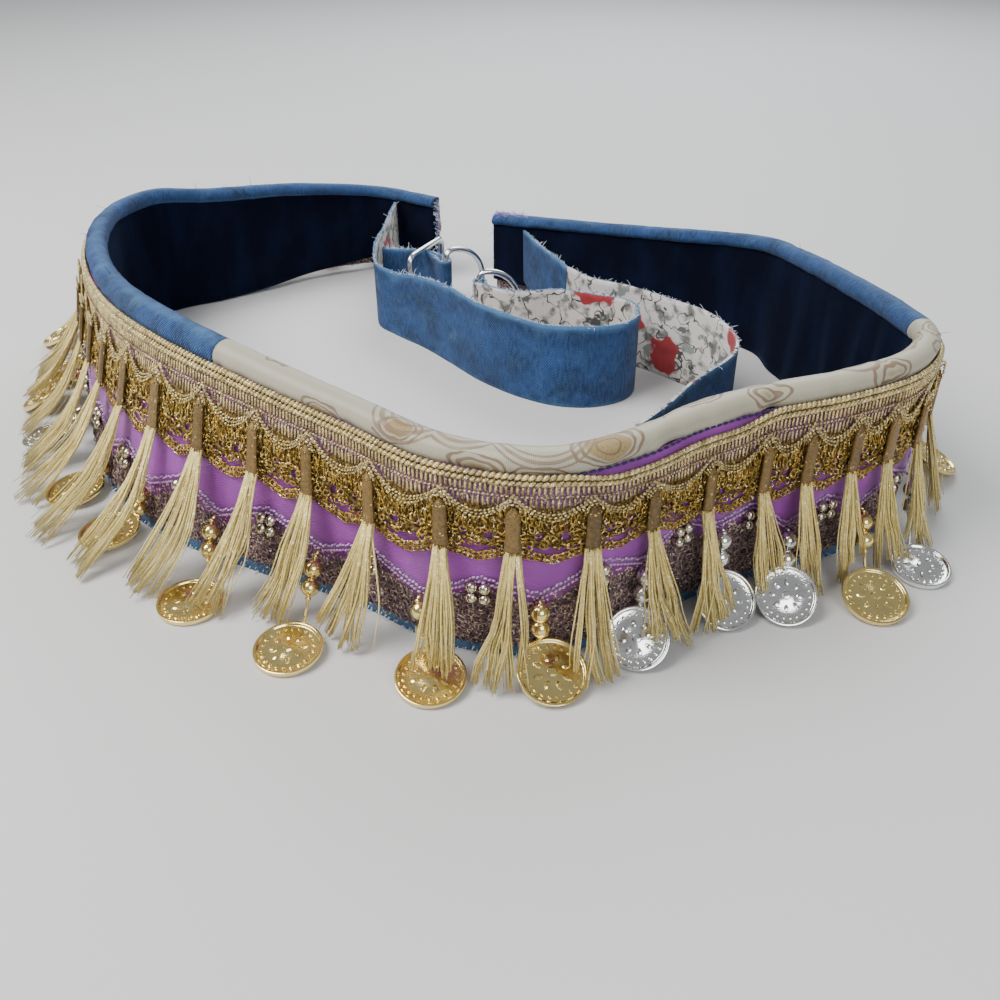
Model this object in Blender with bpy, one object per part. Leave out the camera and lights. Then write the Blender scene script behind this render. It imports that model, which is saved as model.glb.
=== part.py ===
"""Coin belt standing open on its lower edge, built piece by piece as its maker sews it.

A padded hip band of denim with a velvet lining follows a smooth plan line. Bindings wrap its top
edge, and lace, a pointed satin ribbon, a gold braid, a chain edge, tassels and coins lie on its
outer side, each made from the band's own points moved out. Two reversible straps and three
D-rings lie in the hollow. Sizes are in millimetres, heights rise from the surface it stands on.
"""

import math
import random
from collections import namedtuple

import bmesh
import bpy
from mathutils import Vector

MM = 0.001
SEAM_GAP = 0.3
LEAST_STEP = 0.2

# Band: heights are designed at full height and shrink with the band towards its ends
BELT_HEIGHT = 81.0
DENIM_WALL = 2.4
LINING_WALL = 1.6
LINING_HEM = 0.6
CORE_TOP_INSET = 2.2

Section = namedtuple("Section", "x y top foot lean")
SECTIONS = (
    # plan position, height of the top edge, lift of the lower edge, outward lean of the foot
    Section(-18, 166, 50, 12, 0),
    Section(-54, 181, 52, 9, 0),
    Section(-99, 164, 59, 4, 0),
    Section(-148, 127, 67, 0, 2),
    Section(-169, 113, 71, 0, 4),
    Section(-181, 88, 72, 0, 7),
    Section(-181, 62, 73, 0, 9),
    Section(-173, 29, 75, 0, 14),
    Section(-148, -27, 78, 0, 21),
    Section(-104, -87, 84, 0, 26),
    Section(-63, -121, 82, 0, 17),
    Section(-29, -148, 81, 0, 7),
    Section(5, -174, 81, 0, 3),
    Section(38, -180, 81, 0, 1),
    Section(63, -169, 81, 0, 1),
    Section(84, -153, 81, 0, 1),
    Section(106, -141, 81, 0, 1),
    Section(139, -129, 81, 0, 0),
    Section(168, -112, 81, 0, 0),
    Section(182, -90, 80, 0, 0),
    Section(182, -60, 77, 0, 0),
    Section(175, -19, 73, 0, 0),
    Section(165, 34, 66, 0, 0),
    Section(158, 57, 63, 0, 1),
    Section(145, 73, 60, 0, 1),
    Section(116, 89, 57, 2, 1),
    Section(75, 111, 53, 6, 0),
    Section(18, 139, 49, 10, 0),
)
STEPS_PER_SECTION = 24
FOOT_LIFT_LEAST = 0.2

# Repeats along the band
FIRST_TASSEL, LAST_TASSEL = 14.8, 1050.9
SHOWN_TASSELS = (429.0, 456.5, 482.0, 510.8, 537.8, 559.5, 581.5, 603.0, 629.5, 654.2, 672.2, 691.0, 707.2, 724.5)
TASSELS_BEFORE, TASSELS_AFTER = 17, 13
TASSEL_COUNT = TASSELS_BEFORE + len(SHOWN_TASSELS) + TASSELS_AFTER
USUAL_HALF_PITCH = 12.35
FIRST_POINT, POINT_PITCH, POINT_COUNT = 1.8, 36.9, 29
BEND_KEPT = math.radians(5)
BEND_SPLIT = math.radians(16)
TWIST_KEPT = 1.4

# Bindings, by their distance from the start of the band
BROCADE_START = 431.0
BROCADE_END = 758.0
BINDING_PROFILE = (
    # outward distance, height above the top edge
    (2.2, -6.8),
    (2.8, -3.4),
    (1.2, -0.7),
    (-1.8, 0.0),
    (-4.6, -0.8),
    (-6.4, -3.8),
    (-6.2, -7.8),
    (-4.6, -7.8),
    (-4.6, -1.9),
    (0.3, -1.9),
    (0.3, -6.8),
)

# Trims: outward distances and heights
LACE_INNER, LACE_OUTER = 0.3, 1.3
LACE_LOW, TRIM_TOP = 5.0, 73.8
RIBBON_INNER, RIBBON_OUTER = 1.6, 2.6
RIBBON_TIP, RIBBON_NOTCH = 22.0, 8.0
BRAID_BACK = 2.9
BRAID_PROFILE = (
    # outward distance, height: two ropes, a flat band, then the crusty loops
    (4.0, 73.9),
    (5.2, 72.5),
    (4.3, 71.0),
    (5.2, 69.5),
    (4.0, 68.0),
    (4.2, 60.0),
    (5.3, 56.0),
    (5.3, 43.6),
    (BRAID_BACK, 43.6),
    (BRAID_BACK, 73.9),
)
# The braid's top drops and its lower edge rises over two stretches: amount, from, to, ramp
Stretch = namedtuple("Stretch", "amount start end ramp")
BRAID_DROP = Stretch(4.0, 582.0, 650.0, 22.0)
BRAID_RISE = Stretch(4.5, 535.0, 615.0, 40.0)
BRAID_LOW, BRAID_HIGH = 42.0, 75.5
CHAIN_OUTER = 4.7
CHAIN_HIGH, CHAIN_LOW, CHAIN_HALF = 42.0, 38.0, 1.3

# Fringe: a narrow strip carries flat tassel heads, each with five locks
FRINGE_STRIPS = 7
STRIP_INNER, STRIP_OUTER = 5.9, 7.1
STRIP_HIGH, STRIP_LOW, STRIP_HALF = 64.0, 58.5, 1.3
HEAD_TOP_WIDTH, HEAD_LOW_WIDTH = 5.2, 6.0
HEAD_LOW, HEAD_OUTER = 43.0, 7.5
LOCKS = 5
LOCK_MID_HEIGHT, LOCK_MID_REACH = 18.0, 13.4
LOCK_MID_SPREAD, LOCK_TIP_SPREAD = 2.4, 3.9
LOCK_HALF_WIDTH, LOCK_HALF_DEPTH = 0.75, 0.55
LOCK_TIP_HEIGHT, LOCK_TIP_REACH, LOCK_REACH_PER_LEAN = 1.1, 19.0, 0.65
LOCK_ROOM, LOCK_STEP, LOCK_TRIES, LOCK_SAMPLES = 1.4, 0.4, 60, 8
MIDDLE_DRIFT, SIDE_LOCK_SHORTER = 0.4, 0.8
REACH_LEAST, REACH_MOST = -2.5, 1.5
SWAY_FROM_COIN, SWAY_DRIFT, SWAY_AT_MIDDLE = 2.0, 1.6, 0.5
STRIP_INSET, HEAD_ROOM = 1.0, 0.4
TASSEL_SEED = 7

# Coin drops: two beads on a thread above a coin with a raised rim
GOLD_RADIUS, SILVER_RADIUS = 12.0, 11.0
SILVER_POINTS = (2, 5, 9, 16, 17, 18, 20, 23, 26)
COIN_SIDES = 12
COIN_BODY, COIN_RIM = 1.0, 1.7
COIN_RIM_WIDTH = 1.6
COIN_LIFT = 0.5
COIN_MARGIN = 1.8
BEAD_RADIUS = 3.4
BEAD_SIDES = 5
THREAD_RADIUS = 0.6
THREAD_END_RADIUS = 0.3
THREAD_SINK = 0.8
BEAD_SPARE_ABOVE = 0.15
ALONG_LIMIT = 0.8
COIN_FACING = 0.3
THREAD_LENGTH = 14.9
DROP_START, DROP_START_RISE = 6.2, 0.8
STITCH_START, STITCH_RISE = 3.45, 1.2
Drop = namedtuple("Drop", "point shift tip along out tilt")
SHOWN_DROPS = (
    # ribbon point, its shift along the band and height, then the coin's middle and tilt
    Drop(8, -5, 20, -9.3, 19.7, 30),
    Drop(9, -5.4, 20, -14.6, 18.4, 10),
    Drop(10, -6, 19, -2.6, 14.0, 8),
    Drop(11, -6.7, 19, -6.7, 14.0, 6),
    Drop(12, -7.2, 19, 12.2, 24.6, 2),
    Drop(13, 3.5, 20, 12.5, 30.7, 6),
    Drop(14, 11.6, 21, 13.5, 17.5, 10),
    Drop(15, 12.2, 27, 3.9, 13.9, 25),
    Drop(16, 10.8, 31, -7.3, 11.0, 42),
    Drop(17, 9.9, 31, -2.6, 14.2, 42),
    Drop(18, 3.5, 22.5, -8.0, 21.8, 40),
    Drop(19, -1, 23, -12.6, 30.4, 18),
    Drop(20, -5, 23, -28.0, 20.2, 10),
)
HIDDEN_ALONG = (5, -3, 2, -6, 4)
HIDDEN_TILTS = (24, 12, 32)

# Straps: reversible strips that stand on their long edge
STRAP_WALL = 1.6
TAB_WALL = 1.2
Turn = namedtuple("Turn", "x y low top")
Seat = namedtuple("Seat", "s low top")
LEFT_SEAT = Seat(27.0, 15, 45)
LEFT_STRAP = (
    # plan position, heights of the lower and upper edge
    Turn(-45, 150, 12, 45),
    Turn(-47, 132, 8, 43),
    Turn(-50, 106, 3, 40),
    Turn(-47, 90, 0, 37),
    Turn(-38, 80, 0, 36),
    Turn(-22, 64, 0, 40),
    Turn(-6, 44, 0, 42),
    Turn(14, 19, 0, 42),
    Turn(32, 4, 0, 42),
    Turn(50, -4, 0, 42),
    Turn(68, -4, 0, 42),
    Turn(82, 4, 0, 42),
    Turn(87, 17, 0, 42),
    Turn(82, 28, 0, 42),
    Turn(68, 35, 0, 42),
    Turn(50, 40, 0, 42),
    Turn(32, 39, 0, 42),
    Turn(19, 43, 0, 42),
    Turn(10, 54, 3, 40),
    Turn(6.6, 64, 7, 36),
    Turn(6.4, 70, 7, 36),
    Turn(9, 72.4, 7, 36),
    Turn(11.6, 70, 7, 36),
    Turn(12.6, 63, 7, 36),
    Turn(15, 55, 6, 37),
)
RIGHT_SEAT = Seat(1041.0, 13, 43)
RIGHT_STRAP = (
    Turn(41, 106, 6, 43),
    Turn(49, 86, 2, 43),
    Turn(56, 71, 0, 42),
    Turn(66, 58, 0, 42),
    Turn(82, 47, 0, 42),
    Turn(108, 25, 0, 42),
    Turn(123, 6, 0, 42),
    Turn(128, -11, 0, 42),
    Turn(126, -27, 0, 42),
    Turn(104, -56, 0, 42),
    Turn(84, -83, 0, 42),
    Turn(74, -96, 0, 42),
    Turn(52, -112, 0, 42),
    Turn(26, -122, 0, 41),
)
RING_TAB = (
    Turn(-47.2, 121.2, 8, 35.2),
    Turn(-34.8, 119.0, 8, 35.2),
    Turn(-21.6, 115.7, 8, 35.2),
    Turn(-14.9, 109.6, 8, 35.2),
    Turn(-8.0, 102.1, 8, 35.2),
    Turn(-7.4, 99.8, 8, 35.2),
    Turn(-8.4, 98.3, 8, 35.2),
    Turn(-10.4, 97.8, 8, 35.2),
    Turn(-12.2, 98.8, 8, 35.2),
    Turn(-17.1, 108.0, 8, 35.2),
    Turn(-22.4, 114.2, 8, 35.2),
    Turn(-35.2, 117.4, 8, 35.2),
    Turn(-47.4, 119.6, 8, 35.2),
)
# Pieces of each strap: name, finish and the turn where the piece ends
LEFT_PIECES = (
    ("strap_left_root", "denim", 5),
    ("strap_loop_front", "denim", 13),
    ("strap_loop_back", "print", 25),
)
RIGHT_PIECES = (
    ("strap_right_root", "denim", 3),
    ("strap_print_run", "print", 9),
    ("strap_return_run", "denim", 14),
)
TURN_STEPS = 3
HEADING_STEP = 0.5

# D-rings: bar centre, bar direction, bow direction, inner width and depth
ROD_RADIUS = 1.6
ROD_SIDES = 6
RING_CORNER, RING_MITRE = 4.0, 1.2
BOW_STEPS = 9
Ring = namedtuple("Ring", "name bar along out width depth")
RINGS = (
    Ring("ring_over_tab", (-22, 115, 37.2), (0.43, 0.9, 0), (0, 0, -1), 37, 34),
    Ring("ring_in_tab", (-10, 100.4, 21.5), (0, 0, 1), (0.82, 0.57, 0), 37, 24),
    Ring("ring_on_strap", (9, 69, 21.5), (0, 0, 1), (0.97, 0.24, 0), 37, 22),
)

Finish = namedtuple("Finish", "colour roughness metallic")
FINISHES = {
    "denim": Finish((0.12, 0.24, 0.45), 0.9, 0.0),
    "velvet": Finish((0.012, 0.016, 0.05), 0.95, 0.0),
    "brocade": Finish((0.78, 0.7, 0.55), 0.45, 0.0),
    "lace": Finish((0.25, 0.17, 0.09), 0.8, 0.1),
    "satin": Finish((0.34, 0.1, 0.5), 0.4, 0.0),
    "gold_braid": Finish((0.62, 0.43, 0.17), 0.45, 0.7),
    "tassel": Finish((0.72, 0.55, 0.28), 0.5, 0.3),
    "gold_coin": Finish((0.8, 0.6, 0.2), 0.3, 1.0),
    "silver_coin": Finish((0.75, 0.75, 0.72), 0.25, 1.0),
    "print": Finish((0.7, 0.66, 0.64), 0.85, 0.0),
    "steel": Finish((0.8, 0.8, 0.82), 0.2, 1.0),
}

Station = namedtuple("Station", "s x y mx my top foot lean")


def clear_scene():
    for item in list(bpy.data.objects):
        bpy.data.objects.remove(item, do_unlink=True)


def finish_material(name):
    material = bpy.data.materials.get(name)
    if material:
        return material
    finish = FINISHES[name]
    material = bpy.data.materials.new(name)
    material.use_nodes = True
    shader = material.node_tree.nodes["Principled BSDF"]
    shader.inputs["Base Color"].default_value = (*finish.colour, 1.0)
    shader.inputs["Roughness"].default_value = finish.roughness
    shader.inputs["Metallic"].default_value = finish.metallic
    return material


def make_object(name, bm, finish):
    bmesh.ops.recalc_face_normals(bm, faces=bm.faces[:])
    mesh = bpy.data.meshes.new(name)
    bm.to_mesh(mesh)
    bm.free()
    item = bpy.data.objects.new(name, mesh)
    item.data.materials.append(finish_material(finish))
    bpy.context.collection.objects.link(item)
    return item


def smooth_rows(rows, steps):
    """Pass a smooth curve through the rows' columns and return evenly stepped rows."""
    spans = [math.dist(a[:2], b[:2]) for a, b in zip(rows, rows[1:])]
    slopes = [[(b - a) / spans[0] for a, b in zip(rows[0], rows[1])]]
    for i in range(1, len(rows) - 1):
        before, after = spans[i - 1], spans[i]
        slopes.append([
            ((c - b) / after * before + (b - a) / before * after) / (before + after)
            for a, b, c in zip(rows[i - 1], rows[i], rows[i + 1])
        ])
    slopes.append([(b - a) / spans[-1] for a, b in zip(rows[-2], rows[-1])])
    curve = []
    for i, span in enumerate(spans):
        for step in range(steps):
            t = step / steps
            start, leave = 2 * t**3 - 3 * t**2 + 1, t**3 - 2 * t**2 + t
            end, arrive = 3 * t**2 - 2 * t**3, t**3 - t**2
            curve.append([
                start * a + leave * span * m + end * b + arrive * span * n
                for a, b, m, n in zip(rows[i], rows[i + 1], slopes[i], slopes[i + 1])
            ])
    curve.append(list(rows[-1]))
    return curve


def lengths_along(points):
    along = [0.0]
    for a, b in zip(points, points[1:]):
        along.append(along[-1] + math.dist(a[:2], b[:2]))
    return along


def row_at(curve, along, s):
    s = min(max(s, 0.0), along[-1])
    i = max(k for k in range(len(along) - 1) if along[k] <= s)
    share = (s - along[i]) / (along[i + 1] - along[i])
    return [a + (b - a) * share for a, b in zip(curve[i], curve[i + 1])]


def bend(before, here, after):
    first = math.atan2(here[1] - before[1], here[0] - before[0])
    second = math.atan2(after[1] - here[1], after[0] - here[0])
    return abs((second - first + math.pi) % (2 * math.pi) - math.pi)


class Band:
    """The band's plan line as a chain of stations that every layer shares."""

    def __init__(self):
        self.curve = smooth_rows(SECTIONS, STEPS_PER_SECTION)
        self.along = lengths_along(self.curve)
        self.length = self.along[-1]
        before = (SHOWN_TASSELS[0] - FIRST_TASSEL) / TASSELS_BEFORE
        after = (LAST_TASSEL - SHOWN_TASSELS[-1]) / TASSELS_AFTER
        self.tassels = [FIRST_TASSEL + before * k for k in range(TASSELS_BEFORE)]
        self.tassels.extend(SHOWN_TASSELS)
        self.tassels.extend(SHOWN_TASSELS[-1] + after * (k + 1) for k in range(TASSELS_AFTER))
        shifts = {drop.point: drop.shift for drop in SHOWN_DROPS}
        self.points = [FIRST_POINT + POINT_PITCH * k + shifts.get(k, 0) for k in range(POINT_COUNT + 1)]
        self.valleys = [(a + b) / 2 for a, b in zip(self.points, self.points[1:])]
        self.gaps = [(a + b) / 2 for a, b in zip(self.tassels, self.tassels[1:])]
        self.stations = self.place_stations(self.base_distances())

    def base_distances(self):
        """Every gap between tassels, and the places between where the line bends."""
        half = USUAL_HALF_PITCH
        kept = {0.0, self.length, *self.gaps}
        for s in self.tassels:
            rows = [row_at(self.curve, self.along, s + shift) for shift in (-half, 0, half)]
            turn = bend(*rows)
            twist = abs(rows[0][-1] - rows[-1][-1])
            if (turn > BEND_KEPT or twist > TWIST_KEPT) and half < s < self.length - half:
                kept.add(s)
            if turn > BEND_SPLIT:
                kept.update((s - half / 2, s + half / 2))
        return sorted(kept)

    def place_stations(self, distances):
        rows = [row_at(self.curve, self.along, s) for s in distances]
        normals = []
        for a, b in zip(rows, rows[1:]):
            run = math.dist(a[:2], b[:2])
            normals.append(((b[1] - a[1]) / run, -(b[0] - a[0]) / run))
        normals = [normals[0], *normals, normals[-1]]
        stations = []
        for s, row, (ax, ay), (bx, by) in zip(distances, rows, normals, normals[1:]):
            share = 1 + ax * bx + ay * by
            x, y, top, foot, lean = row
            level_foot = foot if foot > FOOT_LIFT_LEAST else 0.0
            stations.append(Station(s, x, y, (ax + bx) / share, (ay + by) / share, top, level_foot, lean))
        return stations

    def at(self, s):
        chain = self.stations
        i = max(k for k in range(len(chain) - 1) if chain[k].s <= s + 1e-9)
        share = (s - chain[i].s) / (chain[i + 1].s - chain[i].s)
        return Station(*[a + (b - a) * share for a, b in zip(chain[i], chain[i + 1])])

    def room(self, s):
        """Half the distance from a tassel to its nearer neighbour."""
        return min(abs(s - gap) for gap in self.gaps)

    def from_tassel(self, s):
        """Zero at a tassel, one halfway between two."""
        nearest = min(self.tassels, key=lambda tassel: abs(tassel - s))
        ahead = [abs(gap - nearest) for gap in self.gaps if (gap > nearest) == (s > nearest)]
        return min(abs(s - nearest) / min(ahead, default=USUAL_HALF_PITCH), 1.0)

    def stretch(self, start, end, extra=()):
        """The shared stations between two distances, with any extra ones on the same chords."""
        inside = {round(st.s, 4): st for st in self.stations if start + LEAST_STEP < st.s < end - LEAST_STEP}
        for s in extra:
            if start + LEAST_STEP < s < end - LEAST_STEP:
                inside.setdefault(round(s, 4), self.at(s))
        return [self.at(start), *[inside[s] for s in sorted(inside)], self.at(end)]


def spot(station, outward, height):
    """A point of the band, moved outward, in metres."""
    out = outward + station.lean * (1 - height / station.top)
    return Vector((station.x + station.mx * out, station.y + station.my * out, height)) * MM


def scaled(station, height):
    return height * station.top / BELT_HEIGHT


def amount_at(stretch, s):
    inside = min(s - stretch.start, stretch.end - s) / stretch.ramp + 0.5
    share = min(max(inside, 0.0), 1.0)
    return stretch.amount * share * share * (3 - 2 * share)


def trim_height(station, height):
    """A trim's height: the braid's top drops below a bare strip of ribbon, its lower edge rises."""
    level = (height - BRAID_LOW) / (BRAID_HIGH - BRAID_LOW)
    rise = amount_at(BRAID_RISE, station.s) * (1 - level)
    return scaled(station, height + rise - amount_at(BRAID_DROP, station.s) * level)


def tile(bm, a, b, c, d, falling=False):
    """Two triangles whose shared edge rises or falls along the band, so that layers stay apart."""
    if (a.co.z <= b.co.z) != falling:
        return [bm.faces.new((a, b, c)), bm.faces.new((a, c, d))]
    return [bm.faces.new((a, b, d)), bm.faces.new((b, c, d))]


def falls_after(stations):
    """Whether the band grows steeper after each station: its tiles then bulge to the inside."""
    return [after.lean < before.lean for before, after in zip(stations, stations[1:])]


def loft(bm, rings, closed=False, falling=()):
    pairs = list(zip(rings, rings[1:]))
    if closed:
        pairs.append((rings[-1], rings[0]))
    falling = falling or [False] * len(pairs)
    for (low, high), falls in zip(pairs, falling):
        for j in range(len(low)):
            k = (j + 1) % len(low)
            tile(bm, low[j], low[k], high[k], high[j], falls)
    if not closed:
        bm.faces.new(rings[0])
        bm.faces.new(rings[-1][::-1])


def wall(name, finish, stations, profile):
    """A closed wall along the band; profile gives (outward, height) pairs at a station."""
    bm = bmesh.new()
    rings = [[bm.verts.new(spot(st, out, height)) for out, height in profile(st)] for st in stations]
    loft(bm, rings, falling=falls_after(stations))
    return make_object(name, bm, finish)


def box_profile(inner, outer, low, high):
    return [(inner, low), (outer, low), (outer, high), (inner, high)]


def make_band(band):
    whole = band.stretch(0.0, band.length)
    wall("denim_outer", "denim", whole,
         lambda st: box_profile(-DENIM_WALL, 0.0, st.foot, st.top - CORE_TOP_INSET))
    lining_face = -DENIM_WALL - SEAM_GAP
    wall("velvet_lining", "velvet", whole,
         lambda st: box_profile(lining_face - LINING_WALL, lining_face, st.foot + LINING_HEM,
                                st.top - CORE_TOP_INSET))


def make_bindings(band):
    def profile(st):
        return [(out, st.top + scaled(st, height)) for out, height in BINDING_PROFILE]

    stretches = (
        ("binding_denim_left", "denim", 0.0, BROCADE_START - SEAM_GAP),
        ("binding_brocade_front", "brocade", BROCADE_START, BROCADE_END),
        ("binding_denim_right", "denim", BROCADE_END + SEAM_GAP, band.length),
    )
    for name, finish, start, end in stretches:
        wall(name, finish, band.stretch(start, end), profile)


def point_tip(point):
    return next((drop.tip for drop in SHOWN_DROPS if drop.point == point), RIBBON_TIP)


def ribbon_low(band, s):
    """The pointed lower edge: lowest at each point, highest halfway between two."""
    left = max((k for k in range(POINT_COUNT) if band.points[k] <= s), default=0)
    share = min(max((s - band.points[left]) / (band.points[left + 1] - band.points[left]), 0.0), 1.0)
    level = point_tip(left) + (point_tip(left + 1) - point_tip(left)) * share
    return level + RIBBON_NOTCH * (1 - abs(share * 2 - 1))


def make_trims(band):
    whole = band.stretch(0.0, band.length)
    wall("lace_mesh", "lace", whole,
         lambda st: box_profile(LACE_INNER, LACE_OUTER, scaled(st, LACE_LOW), scaled(st, TRIM_TOP)))
    wall("satin_ribbon", "satin", band.stretch(0.0, band.length, [*band.points, *band.valleys]),
         lambda st: box_profile(RIBBON_INNER, RIBBON_OUTER, scaled(st, ribbon_low(band, st.s)),
                                scaled(st, TRIM_TOP)))
    wall("gold_braid", "gold_braid", whole,
         lambda st: [(out, trim_height(st, height)) for out, height in BRAID_PROFILE])

    def chain(st):
        middle = CHAIN_HIGH + (CHAIN_LOW - CHAIN_HIGH) * band.from_tassel(st.s)
        return box_profile(BRAID_BACK, CHAIN_OUTER, trim_height(st, middle - CHAIN_HALF),
                           trim_height(st, middle + CHAIN_HALF))

    wall("chain_edge", "gold_braid", band.stretch(0.0, band.length, band.tassels), chain)


class CoinPose:
    """Where a coin lies: its lower edge rests on the surface and its thread runs straight to it."""

    def __init__(self, band, drop):
        point = band.at(band.points[drop.point])
        self.radius = SILVER_RADIUS if drop.point in SILVER_POINTS else GOLD_RADIUS
        self.stitch = spot(point, STITCH_START, scaled(point, drop.tip) + STITCH_RISE) / MM
        self.thread_top = spot(point, DROP_START, scaled(point, drop.tip) + DROP_START_RISE) / MM
        tilt = math.radians(drop.tilt)
        out = Vector((point.mx, point.my, 0)).normalized()
        along = Vector((-out.y, out.x, 0))
        foot = spot(point, 0.0, 0.0) / MM
        rise = self.radius * math.sin(tilt) + COIN_LIFT
        self.centre = foot + along * drop.along + out * drop.out + Vector((0, 0, rise))
        away = self.centre - self.thread_top
        away = Vector((away.x, away.y, 0)).normalized()
        away = (away + out * COIN_FACING).normalized()
        self.up = -away * math.cos(tilt) + Vector((0, 0, math.sin(tilt)))
        self.face = away * math.sin(tilt) + Vector((0, 0, math.cos(tilt)))
        self.thread_end = self.centre + self.up * (self.radius - THREAD_SINK) + self.face * COIN_BODY / 2
        self.axis = self.thread_end - self.thread_top
        spare = max(self.axis.length - 4 * BEAD_RADIUS - THREAD_SINK, 0.0)
        first = BEAD_SPARE_ABOVE * spare + BEAD_RADIUS
        self.bead_places = (first, first + 2 * BEAD_RADIUS)
        self.beads = [self.thread_top + self.axis.normalized() * place for place in self.bead_places]

    def surface(self, x, y):
        """Height of the coin's top over a plan point, or zero beside it."""
        flat = Vector((x - self.centre.x, y - self.centre.y, 0))
        rise = -(flat.x * self.face.x + flat.y * self.face.y) / self.face.z
        if Vector((flat.x, flat.y, rise)).length > self.radius + COIN_MARGIN:
            return 0.0
        return self.centre.z + rise + COIN_RIM / self.face.z


def hidden_drop(band, point):
    """A coin that hangs just clear of the wall, on a thread of the usual length."""
    tilt = math.radians(HIDDEN_TILTS[point % len(HIDDEN_TILTS)])
    station = band.at(band.points[point])
    top = scaled(station, RIBBON_TIP) + DROP_START_RISE
    steepest = math.asin(min(max(top - THREAD_LENGTH - COIN_LIFT, 0) / (2 * GOLD_RADIUS), 1))
    tilt = max(tilt, steepest)
    fall = top - COIN_LIFT - 2 * GOLD_RADIUS * math.sin(tilt)
    run = math.sqrt(max(THREAD_LENGTH**2 - fall**2, 0.0))
    along = HIDDEN_ALONG[point % len(HIDDEN_ALONG)]
    along = math.copysign(min(abs(along), run * ALONG_LIMIT), along)
    out = DROP_START + math.sqrt(run**2 - along**2) + GOLD_RADIUS * math.cos(tilt)
    return Drop(point, 0, RIBBON_TIP, along, out, math.degrees(tilt))


def coin_drops(band):
    shown = {drop.point: drop for drop in SHOWN_DROPS}
    drops = []
    for point in range(1, POINT_COUNT):
        drop = shown.get(point) or hidden_drop(band, point)
        drops.append((drop, CoinPose(band, drop)))
    return drops


def turned(bm, axis, profile, sides):
    """A round solid across one axis: profile gives (centre, radius)."""
    side = axis.orthogonal().normalized()
    other = axis.normalized().cross(side)
    rings = []
    for centre, radius in profile:
        rings.append([
            bm.verts.new((centre + (side * math.cos(a) + other * math.sin(a)) * radius) * MM)
            for a in (2 * math.pi * k / sides for k in range(sides))
        ])
    loft(bm, rings)


def make_coin(pose):
    bm = bmesh.new()
    profile = [
        (pose.centre, pose.radius),
        (pose.centre + pose.face * COIN_RIM, pose.radius),
        (pose.centre + pose.face * COIN_BODY, pose.radius - COIN_RIM_WIDTH),
    ]
    turned(bm, pose.face, profile, COIN_SIDES)
    return make_object("coin", bm, "gold_coin")


def make_beads(pose):
    """Two beads on a thread, from the stitch in the ribbon's point down into the coin's edge."""
    bead = BEAD_RADIUS
    steps = [(0, THREAD_RADIUS)]
    for middle in pose.bead_places:
        steps.extend(((middle - bead / 2, bead), (middle + bead / 2, bead), (middle + bead, THREAD_RADIUS)))
    steps.append((pose.axis.length, THREAD_END_RADIUS))
    heading = pose.axis.normalized()
    profile = [(pose.stitch, THREAD_RADIUS)]
    profile.extend((pose.thread_top + heading * along, radius) for along, radius in steps)
    bm = bmesh.new()
    turned(bm, heading, profile, BEAD_SIDES)
    return make_object("beads", bm, "gold_coin")


def join_solids(item, tool):
    modifier = item.modifiers.new("join", "BOOLEAN")
    modifier.operation = "UNION"
    modifier.solver = "EXACT"
    modifier.object = tool
    bpy.context.view_layer.update()
    joined = bpy.data.meshes.new_from_object(item.evaluated_get(bpy.context.evaluated_depsgraph_get()))
    item.modifiers.clear()
    item.data = joined
    bpy.data.objects.remove(tool, do_unlink=True)


def make_coin_drops(drops):
    for drop, pose in drops:
        coin = make_coin(pose)
        join_solids(coin, make_beads(pose))
        coin.name = f"coin_drop_{drop.point:02d}"
        coin.data.materials.clear()
        coin.data.materials.append(finish_material("silver_coin" if drop.point in SILVER_POINTS else "gold_coin"))


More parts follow.
